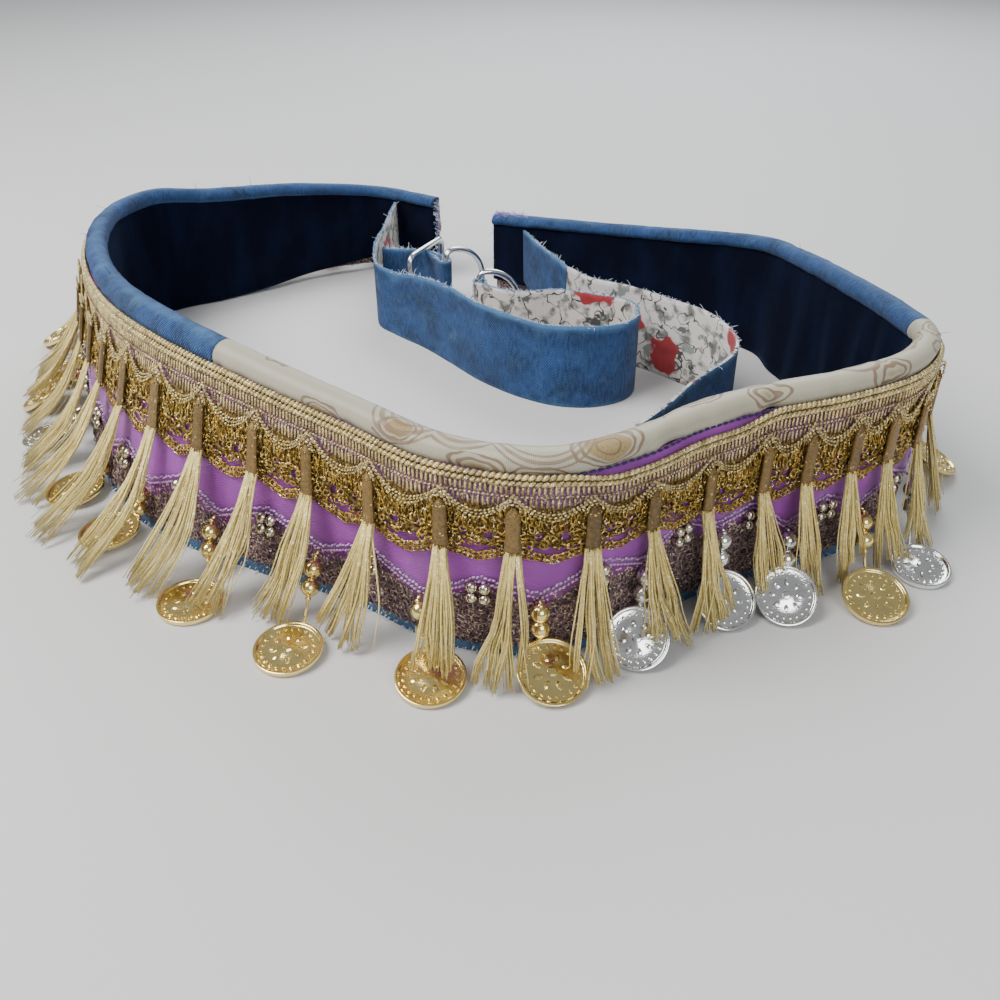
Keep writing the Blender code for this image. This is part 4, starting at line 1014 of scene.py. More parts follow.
class COINBELT_OT_lace(bpy.types.Operator):
    """Lay the crochet lace, a ground cloth with a net of small thread loops over it"""

    bl_idname = "coinbelt.lace"
    bl_label = "Crochet lace"

    def execute(self, context):
        def ground(u, v):
            return on_band(u * LENGTH, 0.9 + 0 * u, LACE_LOW + (TRIM_TOP - 1 - LACE_LOW) * v)

        def satin_edge(u, v):
            height = LACE_LOW + (TRIM_TOP - 1 - LACE_LOW) * v
            return np.clip((height - ribbon_low(u * LENGTH)) / 2.0 + 2.6, 0.0, 1.0)

        width = TRIM_TOP - LACE_LOW
        cloth, area = make_cloth("lace_ground_cloth", (400, 24), ground, (LENGTH, width), 0.5, ["lace"],
                                 ["lace_mesh"], satin_edge)
        dice = random.Random(11)
        pitch = settings().net_pitch / MM
        frames = []
        for row in range(8):
            for k in range(int(LENGTH / pitch)):
                s = (k + 0.5 * (row % 2) + 0.3) * pitch + dice.uniform(-0.7, 0.7)
                s = min(max(s, 1.5), LENGTH - 1.5)
                place = (s, -1.2 - dice.uniform(0, 0.5),
                         LACE_LOW + 1.2 + row * pitch * 0.95 + dice.uniform(-0.6, 0.6))
                if place[2] > float(ribbon_low(np.array(s))) - 3.4:
                    continue
                size = pitch * dice.uniform(0.42, 0.72)
                frames.append(turned_frame(place, dice.uniform(-0.35, 0.35), dice.uniform(-0.5, 0.5),
                                           dice.uniform(0, 3.1), (size, size, size * dice.uniform(0.6, 1.0))))
        net = drape(stamp("lace_net", link_loop(5, 3, 0.15), frames, 12), "net")
        return {"FINISHED"}


class COINBELT_OT_ribbon(bpy.types.Operator):
    """Lay the pointed satin ribbon with its twisted lilac cord and the small bead clusters"""

    bl_idname = "coinbelt.ribbon"
    bl_label = "Pointed ribbon"

    def execute(self, context):
        def satin(u, v):
            s = u * LENGTH
            low = ribbon_low(s)
            pucker = 0.22 * np.sin(s / 3.1 + 2 * np.sin(s / 17)) + 0.15 * np.sin(s / 1.3)
            return on_band(s, 2.45 + pucker * (1 - v), low + (TRIM_TOP - low) * v)

        width = TRIM_TOP - RIBBON_TIP
        cloth, area = make_cloth("ribbon_satin", (600, 8), satin, (LENGTH, width), 0.8, ["satin"],
                                 ["satin_ribbon"])
        s = np.arange(1.0, LENGTH - 1.0, 0.8)
        edge = np.column_stack((s, -3.0 + 0 * s, ribbon_low(s) + 0.7))
        inner = np.column_stack((s, -2.9 + 0 * s, ribbon_low(s) + 2.7 + 0.35 * np.sin(s * 1.9)))
        cord = drape(rope("ribbon_cord", [edge, inner], 0.6, 1.45, 31, 22, 5, 3), "lilac")
        deselect()
        bpy.ops.mesh.primitive_uv_sphere_add(segments=10, ring_count=7, radius=2.05)
        bead = bpy.context.object
        frames = []
        for k, valley in enumerate(VALLEYS[:-1]):
            high = (POINT_TIPS[k] + POINT_TIPS[k + 1]) / 2 + RIBBON_NOTCH
            for across in (-2.15, 2.15):
                for rise in (-1.4, -5.7):
                    frames.append(turned_frame((valley + across, -3.9, high + rise), 0, 0, 0, (1, 1, 1)))
        frames = [place for place in frames if 3 < place[0, 3] < LENGTH - 3]
        clusters = drape(stamp("bead_clusters", bead, frames, 32), "pale_metal")
        return {"FINISHED"}


def straight(out, height):
    s = np.arange(1.0, LENGTH - 1.0, 2.0)
    return np.column_stack((s, -out + 0 * s, height + 0 * s))


def scallop_height(s, high, deep):
    """A cord that hangs in one bow between two tassels."""
    return high - deep * np.sin(between_tassels(s) * math.pi) ** 0.8


class COINBELT_OT_braid(bpy.types.Operator):
    """Work the gold braid: two ropes, a ribbed band, hanging double cords and glitter loops"""

    bl_idname = "coinbelt.braid"
    bl_label = "Gold braid"

    def execute(self, context):
        sizes = settings()

        def backing(u, v):
            s = u * LENGTH
            low, high = CRUST_LOW + 0.8 * np.sin(s * 2.1), 73.0
            out = 3.35 + 0.6 * np.clip((57 - (low + (high - low) * v)) / 8, 0, 1)
            return on_band(s, out, trim_height(s, low + (high - low) * v))

        cloth, area = make_cloth("braid_ground", (420, 14), backing, (LENGTH, 28.0), 0.5, ["gold_ground"],
                                 ["gold_braid"], adjust=self.cut_windows)
        lines = [straight(*line) for line in TOP_ROPES]
        ropes = drape(rope("braid_ropes", lines, sizes.rope_radius / MM, 1.9, 41, 40, 6, 4), "gold", True)
        ribs = self.make_ribs(sizes.rib_pitch / MM)
        bows = self.make_bows(sizes.cord_radius / MM)
        crust = self.make_crust(sizes.crust_pitch / MM)
        return {"FINISHED"}

    def cut_windows(self, cloth):
        """Open two small windows between each pair of tassels, where the satin shows."""
        pick(cloth)
        bpy.ops.object.mode_set(mode="EDIT")
        bpy.ops.mesh.select_all(action="DESELECT")
        bpy.ops.object.mode_set(mode="OBJECT")
        layer = cloth.data.uv_layers.active.data
        for face in cloth.data.polygons:
            u = sum(layer[i].uv[0] for i in face.loop_indices) / 4 / MM
            v = sum(layer[i].uv[1] for i in face.loop_indices) / 4 / 0.028
            share = float(between_tassels(u))
            face.select = 0.07 < v < 0.2 and any(low < share < high for low, high in WINDOWS)
        bpy.ops.object.mode_set(mode="EDIT")
        bpy.ops.mesh.delete(type="FACE")
        bpy.ops.object.mode_set(mode="OBJECT")

    def make_ribs(self, pitch):
        dice = random.Random(42)
        grain = twist_grain(90, 5, 4, (1.0, 0.55, 0.5))
        frames = []
        for k in range(int(LENGTH / pitch)):
            s = (k + 0.5) * pitch
            frames.append(turned_frame((s, -3.9, LONG_RIB_MIDDLE), 0, 0, dice.uniform(-0.06, 0.06),
                                       (pitch * 0.62, 0.9, 2.5)))
            low = float(scallop_height(np.array(s), SHORT_RIB_TOP, SHORT_RIB_DEEP))
            if LONG_RIB_FOOT - low > 1.2:
                frames.append(turned_frame((s + pitch / 2, -3.8, (LONG_RIB_FOOT + low) / 2), 0, 0,
                                           dice.uniform(-0.1, 0.1),
                                           (pitch * 0.55, 0.8, (LONG_RIB_FOOT + 0.4 - low) / 2)))
        return drape(stamp("braid_ribs", grain, frames, 43), "gold", True)

    def make_bows(self, cord):
        """A thin straight rope, three cords in bows between the tassels and two loops over each head."""
        paths = [straight(*THIN_ROPE)]
        s = np.arange(1.0, LENGTH - 1.0, 0.8)
        for lower in BOW_STEPS:
            height = scallop_height(s, BOW_TOP, BOW_DEEP) - lower * (0.25 + 0.75 * from_tassel(s))
            paths.append(np.column_stack((s, -BOW_OUT + 0 * s, height)))
        for middle in TASSELS:
            turn = np.linspace(-0.25, math.pi + 0.25, 14)
            for wide, high in HEAD_LOOPS:
                paths.append(np.column_stack((middle + wide * np.cos(turn), -7.0 - 0.5 * np.sin(turn),
                                              HEAD_LOOP_HEIGHT + high * np.sin(turn))))
        return drape(rope("braid_bows", paths, cord * 1.1, 1.4, 44, 20, 5, 3), "gold", True)

    def make_crust(self, pitch):
        """Glitter loops standing in upright columns, thinner where the windows are."""
        dice = random.Random(45)
        frames = []
        for k in range(int(LENGTH / pitch)):
            s = (k + 0.5) * pitch
            share = float(between_tassels(s))
            top = float(scallop_height(np.array(s), CRUST_TOP, CRUST_DEEP)) - 1.0
            rows = int((top - CRUST_LOW + 0.5) / (pitch * 0.93))
            for row in range(rows + 1):
                height = CRUST_LOW + row * pitch * 0.93 + dice.uniform(-0.5, 0.5)
                if LOOP_GAP_LOW < height < LOOP_GAP_HIGH and any(a < share < b for a, b in LOOP_GAPS):
                    continue
                place = (s + dice.uniform(-0.6, 0.6), -4.3 - dice.uniform(0, 0.8), height)
                size = pitch * dice.uniform(0.42, 0.64)
                if height > UPRIGHT_LOOPS:
                    # Upright stitches below the bows
                    shape = (size * 0.62, size, size * dice.uniform(1.3, 2.0))
                    frames.append(turned_frame(place, dice.uniform(-0.3, 0.3), dice.uniform(-0.5, 0.5),
                                               dice.uniform(-0.25, 0.25), shape))
                else:
                    frames.append(turned_frame(place, dice.uniform(-0.7, 0.7), dice.uniform(-0.7, 0.7),
                                               dice.uniform(0, 3.1), (size, size, size)))
        return drape(stamp("braid_loops", link_loop(5, 3, 0.36), frames, 46), "crust", True)


class COINBELT_OT_chain(bpy.types.Operator):
    """Crochet the double chain that edges the braid, lowest halfway between two tassels"""

    bl_idname = "coinbelt.chain"
    bl_label = "Chain edge"

    def execute(self, context):
        s = np.arange(1.5, LENGTH - 1.5, 0.8)
        middle = CHAIN_HIGH - CHAIN_DROP * from_tassel(s)
        frames = []
        dice = random.Random(51)
        for offset in CHAIN_ROWS:
            path = np.column_stack((s, -4.1 + 0 * s, middle + offset))
            for spot, heading in along_path(path, 1.75):
                matrix = frame_at(spot, heading, (0, 1, 0), dice.uniform(0.88, 1.08))
                frames.append(matrix @ np.array(Matrix.Rotation(dice.uniform(-0.4, 0.4), 4, "X")))
        chain = drape(stamp("chain_links", link_loop(6, 3, 0.34, 1.35), frames, 52), "crust", True,
                      ["chain_edge"])
        return {"FINISHED"}


# Coins and tassels share where each coin lies

def band_spot(s, out, height, full=True):
    return Vector(on_band(np.array([s]), out, height, full)[0]) / MM


class CoinPose:
    """Where a coin lies: its lower edge rests on the surface and its thread runs straight to it."""

    def __init__(self, drop):
        s = POINTS[drop.point]
        x, y, nx, ny, top, foot, lean = band_at(s)
        shrink = top / BELT_HEIGHT
        self.radius = SILVER_RADIUS if drop.point in SILVER_POINTS else GOLD_RADIUS
        self.stitch = band_spot(s, 3.6, drop.tip * shrink + 1.2, False)
        self.thread_top = band_spot(s, DROP_START, drop.tip * shrink + DROP_START_RISE, False)
        tilt = math.radians(drop.tilt)
        out = Vector((nx, ny, 0)).normalized()
        along = Vector((-out.y, out.x, 0))
        foot = band_spot(s, 0.0, 0.0, False)
        rise = self.radius * math.sin(tilt) + COIN_LIFT
        self.centre = foot + along * drop.along + out * drop.out + Vector((0, 0, rise))
        away = self.centre - self.thread_top
        away = Vector((away.x, away.y, 0)).normalized()
        away = (away + out * COIN_FACING).normalized()
        self.up = -away * math.cos(tilt) + Vector((0, 0, math.sin(tilt)))
        self.face = away * math.sin(tilt) + Vector((0, 0, math.cos(tilt)))
        self.thread_end = self.centre + self.up * (self.radius - THREAD_SINK) + self.face * COIN_BODY / 2
        self.axis = self.thread_end - self.thread_top
        spare = max(self.axis.length - 4 * BEAD_RADIUS - THREAD_SINK, 0.0)
        first = BEAD_SPARE_ABOVE * spare + BEAD_RADIUS
        self.beads = [self.thread_top + self.axis.normalized() * place
                      for place in (first, first + 2 * BEAD_RADIUS)]

    def surface(self, x, y):
        """Height of the coin's top over a plan point, or zero beside it."""
        flat = Vector((x - self.centre.x, y - self.centre.y, 0))
        rise = -(flat.x * self.face.x + flat.y * self.face.y) / self.face.z
        if Vector((flat.x, flat.y, rise)).length > self.radius + COIN_MARGIN:
            return 0.0
        return self.centre.z + rise + COIN_RIM / self.face.z


def hidden_drop(point):
    """A coin that hangs just clear of the wall, on a thread of the usual length."""
    tilt = math.radians(HIDDEN_TILTS[point % len(HIDDEN_TILTS)])
    top = RIBBON_TIP * float(BAND.at(POINTS[point])[4]) / BELT_HEIGHT + DROP_START_RISE
    steepest = math.asin(min(max(top - THREAD_LENGTH - COIN_LIFT, 0) / (2 * GOLD_RADIUS), 1))
    tilt = max(tilt, steepest)
    fall = top - COIN_LIFT - 2 * GOLD_RADIUS * math.sin(tilt)
    run = math.sqrt(max(THREAD_LENGTH**2 - fall**2, 0.0))
    along = HIDDEN_ALONG[point % len(HIDDEN_ALONG)]
    along = math.copysign(min(abs(along), run * ALONG_LIMIT), along)
    out = DROP_START + math.sqrt(run**2 - along**2) + GOLD_RADIUS * math.cos(tilt)
    return Drop(point, 0, RIBBON_TIP, along, out, math.degrees(tilt))


def coin_poses():
    shown = {drop.point: drop for drop in SHOWN_DROPS}
    return {point: CoinPose(shown.get(point) or hidden_drop(point)) for point in range(1, POINT_COUNT)}


def axes_frame(place, x, y, z):
    matrix = np.eye(4)
    matrix[:3, 0], matrix[:3, 1], matrix[:3, 2], matrix[:3, 3] = x, y, z, place
    return matrix


def model_coin():
    """A coin of radius twelve: a raised rim, a ring of dots and a rosette, all one mesh."""
    deselect()
    bpy.ops.mesh.primitive_cylinder_add(vertices=48, radius=12, depth=COIN_RIM, location=(0, 0, COIN_RIM / 2))
    coin = bpy.context.object
    bpy.ops.object.transform_apply(location=True)
    bpy.ops.object.mode_set(mode="EDIT")
    bpy.ops.mesh.select_all(action="DESELECT")
    bpy.ops.object.mode_set(mode="OBJECT")
    for face in coin.data.polygons:
        face.select = face.normal.z > 0.9
    bpy.ops.object.mode_set(mode="EDIT")
    bpy.ops.mesh.inset(thickness=1.0, depth=0)
    bpy.ops.mesh.inset(thickness=0.5, depth=-0.75)
    bpy.ops.mesh.inset(thickness=6.0, depth=0.0)
    bpy.ops.mesh.inset(thickness=1.0, depth=0.35)
    bpy.ops.object.mode_set(mode="OBJECT")
    edge = coin.modifiers.new("edge", "BEVEL")
    edge.width = 0.22
    edge.segments = 2
    edge.limit_method = "ANGLE"
    apply_modifiers(coin)
    parts = []
    for k in range(22):
        angle = 2 * math.pi * k / 22
        parts.append(((8.9 * math.cos(angle), 8.9 * math.sin(angle), 0.95), angle, (0.75, 0.75, 0.55)))
    for k in range(8):
        angle = 2 * math.pi * (k + 0.5) / 8
        parts.append(((5.1 * math.cos(angle), 5.1 * math.sin(angle), 1.0), angle, (1.9, 0.95, 0.6)))
    parts.append(((0, 0, 1.2), 0, (2.0, 2.0, 0.85)))
    for place, angle, size in parts:
        deselect()
        bpy.ops.mesh.primitive_uv_sphere_add(segments=7, ring_count=4, radius=1, location=place,
                                             rotation=(0, 0, angle), scale=size)
        bpy.ops.object.transform_apply(location=True, rotation=True, scale=True)
        raised = bpy.context.object
        raised.select_set(True)
        coin.select_set(True)
        bpy.context.view_layer.objects.active = coin
        bpy.ops.object.join()
    pick(coin)
    bpy.ops.object.shade_smooth_by_angle(angle=math.radians(35))
    return coin


def copy_at(template, name, matrix, material_index):
    item = template.copy()
    item.data = template.data.copy()
    item.name = name
    item.data.transform(Matrix(matrix))
    bpy.context.collection.objects.link(item)
    item.data.polygons.foreach_set("material_index", [material_index] * len(item.data.polygons))
    return item


class COINBELT_OT_coins(bpy.types.Operator):
    """Hang the coins: a knotted thread from each ribbon point, two beads and a stamped coin"""

    bl_idname = "coinbelt.coins"
    bl_label = "Coins and beads"

    def execute(self, context):
        coin = model_coin()
        deselect()
        bpy.ops.mesh.primitive_uv_sphere_add(segments=14, ring_count=9, radius=1)
        bead = bpy.context.object
        bpy.ops.object.shade_smooth()
        deselect()
        bpy.ops.mesh.primitive_cylinder_add(vertices=7, radius=0.55, depth=1)
        thread = bpy.context.object
        bpy.ops.object.shade_smooth()
        for point, pose in coin_poses().items():
            self.hang(point, pose, coin, bead, thread)
        for template in (coin, bead, thread):
            bpy.data.objects.remove(template, do_unlink=True)
        return {"FINISHED"}

    def hang(self, point, pose, coin, bead, thread):
        dice = random.Random(point)
        side = pose.up.cross(pose.face)
        spin = Matrix.Rotation(dice.uniform(0, 6.2), 4, "Z")
        size = pose.radius / 12 * MM
        shift = pose.centre * MM
        placed = axes_frame(shift, side * size, pose.up * size, pose.face * MM) @ np.array(spin)
        name = f"coin_{point:02d}"
        parts = [copy_at(coin, name, placed, 0)]
        heading = pose.axis.normalized()
        across = heading.orthogonal().normalized()
        other = heading.cross(across)
        for k, place in enumerate(pose.beads):
            scale = BEAD_RADIUS * MM
            matrix = axes_frame(place * MM, across * scale, other * scale, heading * scale * 0.97)
            parts.append(copy_at(bead, "bead", matrix, 1 if (k == 0 and point % 3) else 2))
        knots = (pose.thread_top + heading * 0.6, pose.beads[-1] + heading * (BEAD_RADIUS + 0.7))
        for place in knots:
            matrix = axes_frame(place * MM, across * 0.0011, other * 0.0011, heading * 0.0009)
            parts.append(copy_at(bead, "knot", matrix, 3))
        for start, end in ((pose.stitch, pose.thread_top), (pose.thread_top, pose.thread_end)):
            middle, reach = (start + end) / 2, end - start
            up = reach.normalized()
            a = up.orthogonal().normalized()
            matrix = axes_frame(middle * MM, a * MM, up.cross(a) * MM, reach * MM)
            parts.append(copy_at(thread, "thread", matrix, 3))
        deselect()
        for part in parts:
            part.select_set(True)
        bpy.context.view_layer.objects.active = parts[0]
        bpy.ops.object.join()
        silver = point in SILVER_POINTS
        dress(parts[0], [FINISHES["silver" if silver else "brass"], FINISHES["silver"], FINISHES["brass"],
                         FINISHES["black"]], [f"coin_drop_{point:02d}"])


def resting(poses, place):
    return max((pose.surface(place.x, place.y) for pose in poses), default=0.0)


def clear_lock(poses, root, middle, tip, out):
    """Push a lock out past the beads and lift it over the coins."""
    near = [pose for pose in poses if (pose.centre - middle).length < 4 * GOLD_RADIUS]
    shares = [(k + 1) / LOCK_SAMPLES for k in range(LOCK_SAMPLES)]
    for _ in range(LOCK_TRIES):
        upper = [root.lerp(middle, share) for share in shares]
        lower = [middle.lerp(tip, share) for share in shares]
        caught = [
            place for place in upper + lower for pose in near for bead in pose.beads
            if (bead - place).length < BEAD_RADIUS + LOCK_ROOM
        ]
        low_upper = any(place.z < resting(near, place) + LOCK_ROOM for place in upper)
        low_lower = any(place.z < resting(near, place) + LOCK_ROOM for place in lower)
        if not (caught or low_upper or low_lower):
            break
        if caught:
            middle = middle + out * LOCK_STEP
            tip = tip + out * LOCK_STEP / 2
        if low_upper:
            middle = middle + Vector((0, 0, LOCK_STEP))
        if low_lower:
            middle = middle + Vector((0, 0, LOCK_STEP / 2))
            tip = tip + Vector((0, 0, LOCK_STEP))
    return middle, tip


def tassel_locks(s, poses, dice):
    """Root, middle and tip of a tassel's five locks."""
    nearest = min(POINTS, key=lambda point: abs(point - s))
    away = 1 if s > nearest else -1
    sway = away * (2.0 if abs(s - nearest) < USUAL_HALF_PITCH else 0.0) + dice.uniform(-1.6, 1.6)
    x, y, nx, ny, top, foot_lift, lean = band_at(s)
    shrink = top / BELT_HEIGHT
    close = min(float(np.abs(GAPS - s).min()) / USUAL_HALF_PITCH, 1.0)
    out = Vector((nx, ny, 0)).normalized()
    side = Vector((-out.y, out.x, 0)) * close
    foot = band_spot(s, 0.0, 0.0, False)
    base = band_spot(s, 0.0, LOCK_MID_HEIGHT * shrink, False)
    locks = []
    for k in range(LOCKS):
        place = k - (LOCKS - 1) / 2
        drift = place * LOCK_MID_SPREAD + sway * 0.5
        middle = base + side * drift + out * (LOCK_MID_REACH + dice.uniform(-0.4, 0.4))
        reach = LOCK_TIP_REACH + LOCK_REACH_PER_LEAN * lean + dice.uniform(-2.5, 1.5) - abs(place) * 0.8
        tip = Vector((foot.x, foot.y, LOCK_TIP_HEIGHT)) + side * (place * LOCK_TIP_SPREAD + sway)
        tip = tip + out * reach
        share = (k + 0.5) / LOCKS - 0.5
        low = float(trim_height(s, HEAD_LOW + 1.5)) * shrink
        root = band_spot(s + share * HEAD_LOW_WIDTH, 6.7, low, False)
        middle, tip = clear_lock(poses, root, middle, tip, out)
        locks.append((root, middle, tip))
    return locks, out, side


class COINBELT_OT_tassels(bpy.types.Operator):
    """Tie the tassels: flat wrapped heads on a strip of cord, and locks of fine silk strands"""

    bl_idname = "coinbelt.tassels"
    bl_label = "Tassels"

    def execute(self, context):
        poses = list(coin_poses().values())
        dice = random.Random(TASSEL_SEED)
        loose = random.Random(61)
        strips = 7
        for number in range(strips):
            first = number * TASSEL_COUNT // strips
            last = (number + 1) * TASSEL_COUNT // strips
            strands = []
            for s in TASSELS[first:last]:
                locks, out, side = tassel_locks(float(s), poses, dice)
                strands.extend(self.silk(locks, out, side, poses, loose))
            silk = self.strand_mesh(f"tassel_silk_{number + 1}", strands, number)
            dress(silk, [FINISHES["silk"]], [f"fringe_{number + 1}"])
        self.make_heads()
        self.make_wraps()
        return {"FINISHED"}

    def silk(self, locks, out, side, poses, loose):
        """Curved strands of each lock, a few of them straying."""
        strands = []
        neck = sum((root for root, _, _ in locks), Vector()) / len(locks)
        for root, middle, tip in locks:
            bunch = side * loose.gauss(0, 1.5) + out * loose.gauss(0, 0.7)
            bow = side * loose.gauss(0, 1.4) + out * loose.gauss(0, 0.6)
            curl, phase = loose.gauss(0, 0.9), loose.uniform(0, 6.3)
            for k in range(settings().strands):
                stray = 1.0 if loose.random() > 0.07 else 2.6
                spread = side * loose.gauss(0, 0.5) + out * loose.gauss(0, 0.3)
                wide = side * loose.gauss(0, 1.15 * stray) + out * loose.gauss(0, 0.85 * stray)
                turn = phase + loose.gauss(0, 0.5)
                start = root.lerp(neck, 0.45) + spread
                via = middle + wide * 0.9 + bow
                end = tip + wide * 0.9 + bunch + Vector((0, 0, loose.uniform(-0.3, 2.2)))
                if loose.random() < 0.25:
                    end = end.lerp(via, loose.uniform(0.05, 0.3))
                points = []
                for step in range(7):
                    t = step / 6
                    here = start.lerp(via, t).lerp(via.lerp(end, t), t)
                    here = here + (via - here) * 0.35 * math.sin(math.pi * t)
                    here = here + side * curl * t * math.sin(turn + 7.0 * t)
                    here.z = max(here.z, resting(poses, here) + 0.5)
                    points.append(here)
                strands.append((points, out, side))
        return strands

    def strand_mesh(self, name, strands, seed):
        spots, faces, tones = [], [], []
        dice = random.Random(70 + seed)
        radius = settings().strand_radius / MM
        for points, out, side in strands:
            tone = dice.random()
            faces.extend(tube_faces(len(spots), len(points), 3))
            for step, point in enumerate(points):
                thick = radius * (1.0 - 0.5 * step / (len(points) - 1))
                for angle in (math.pi / 2, math.pi * 7 / 6, math.pi * 11 / 6):
                    rim = (out * math.sin(angle) * 0.8 + side * math.cos(angle) * 1.25) * thick
                    spots.append(tuple((point + rim) * MM))
                    tones.append(tone)
        item = new_piece(name, spots, faces, tones)
        turn_faces_out(item)
        smooth(item)
        return item

    def make_heads(self):
        """A flat head with upright pleats, modelled once and set at each tassel."""
        cloth = cut_cloth("head", 22, 8)

        def wrapped(u, v):
            angle = u * 2 * math.pi
            wide = 1.95 + 0.5 * (1 - v) - 0.3 * np.exp(-((v - 0.42) / 0.06) ** 2)
            pleat = 1 + 0.09 * np.sin(angle * 9)
            close = np.clip((1 - v) / 0.06, 0.05, 1) ** 0.5
            return np.column_stack((np.sin(angle) * wide * pleat * close,
                                    np.cos(angle) * 0.95 * pleat * close, HEAD_LENGTH * v))

        lay(cloth, wrapped, lambda centre: (centre.x, centre.y, 0), 0.014, HEAD_LENGTH * MM)
        pick(cloth)
        bpy.ops.object.mode_set(mode="EDIT")
        bpy.ops.mesh.select_all(action="SELECT")
        bpy.ops.mesh.remove_doubles(threshold=0.001)
        bpy.ops.mesh.fill_holes(sides=40)
        bpy.ops.object.mode_set(mode="OBJECT")
        turn_faces_out(cloth)
        frames = [turned_frame((float(s), -HEAD_OUT, HEAD_FOOT), 0, 0, 0, (1, 1, 1)) for s in TASSELS]
        drape(stamp("tassel_heads", cloth, frames, 62), "head", True)

    def make_wraps(self):
        """Gold thread bound round each head at its neck and its foot."""
        paths = []
        turn = np.linspace(0, 2 * math.pi, 15)
        for s in TASSELS:
            for height, wide in WRAPS:
                paths.append(np.column_stack((s + wide * np.sin(turn), -HEAD_OUT - 1.05 * np.cos(turn),
                                              height + 0.25 * np.sin(turn * 2))))
        drape(rope("head_wraps", paths, 0.34, 1.2, 63, 30, 5, 3), "crust", True)


def loose_threads(name, roots, thick, finish):
    """Fine threads that stand off and sink a little; each root is a place, a direction and a length."""
    spots, faces = [], []
    for start, lean, long in roots:
        lean = lean.normalized()
        faces.extend(tube_faces(len(spots), 4, 3))
        for step in range(4):
            t = step / 3
            point = start + lean * (long * t) + Vector((0, 0, -0.22 * long * t * t))
            for angle in (0, 2.1, 4.2):
                edge = Vector((math.cos(angle), math.sin(angle), 0.4 * math.sin(angle)))
                edge = edge * (thick * (1 - 0.5 * t)) + point
                spots.append((edge.x * MM, edge.y * MM, max(edge.z, 0.15) * MM))
    item = new_piece(name, spots, faces)
    dress(item, [FINISHES[finish]])
    return item


def wave_of(s, seed):
    """A small uneven lean of a standing strap, in millimetres."""
    return 0.5 * np.sin(s / 23 + seed) + 0.3 * np.sin(s / 9.5 + 2 * seed)


class COINBELT_OT_straps(bpy.types.Operator):
    """Stand the reversible straps on their long edges and fray their cut edges"""

    bl_idname = "coinbelt.straps"
    bl_label = "Straps"

    def execute(self, context):
        pieces = (
            ("strap_left", LEFT_STRAP, 1.6, ("denim_strap", "print"),
             ("strap_left_root", "strap_loop_front", "strap_loop_back")),
            ("strap_right_end", RIGHT_STRAP[:RIGHT_ROOT_TURNS], 1.6, ("denim_strap", "denim_strap"),
             ("strap_right_root",)),
            ("strap_right", RIGHT_STRAP[RIGHT_ROOT_TURNS - 1:], 1.6, ("print", "denim_strap"),
             ("strap_print_run", "strap_return_run")),
            ("tab", RING_TAB, 1.2, ("denim_strap", "denim_strap"), ("ring_tab",)),
        )
        for number, (name, turns, wall, finishes, nodes) in enumerate(pieces):
            self.stand(name, turns, wall, finishes, nodes, number)
        return {"FINISHED"}

    def stand(self, name, turns, wall, finishes, nodes, number):
        line = Line(turns, 12)
        sway = 0.35 if name == "tab" else 1.0

        def standing(u, v):
            s = u * line.length
            x, y, nx, ny, low, top = line.at(s)
            off = wall / 2 - 0.1 + sway * wave_of(s, number) * (v - 0.5)
            rise = np.maximum(low, 0.05) + (top - np.maximum(low, 0.05)) * v
            rise = rise + 0.35 * np.sin(s / 7 + number) * v * v
            return np.column_stack((x + nx * off + SHIFT[0], y + ny * off + SHIFT[1], rise)) * MM

        def frayed(u, v):
            return 0.75 * np.clip((v - 0.93) / 0.05, 0, 1) + 0.45 * np.clip((0.05 - v) / 0.04, 0, 1)

        width = float(max(turn.top - turn.low for turn in turns))
        grid = (max(int(line.length / 1.8), 24), 18)
        cloth, area = make_cloth(name + "_cloth", grid, standing, (line.length, width), wall - 0.3, finishes,
                                 nodes, frayed, line)
        fray = self.fray(name, line, number)

    def fray(self, name, line, number):
        """Short loose threads along the upper edge."""
        dice = random.Random(80 + number)
        roots = []
        for k in range(int(line.length / 0.5)):
            s = dice.uniform(1, line.length - 1)
            x, y, nx, ny, low, top = (float(value) for value in line.at(s))
            long = dice.uniform(0.6, 2.2) if dice.random() < 0.93 else dice.uniform(2.5, 6.0)
            start = Vector((x + SHIFT[0] + nx * dice.uniform(-0.5, 0.5),
                            y + SHIFT[1] + ny * dice.uniform(-0.5, 0.5), top - 0.3))
            a, b = dice.uniform(-0.8, 0.8), dice.uniform(-0.8, 0.8)
            roots.append((start, Vector((nx * a - ny * b, ny * a + nx * b, dice.uniform(0.2, 1))), long))
        return loose_threads(name + "_fray", roots, 0.16, "pale")


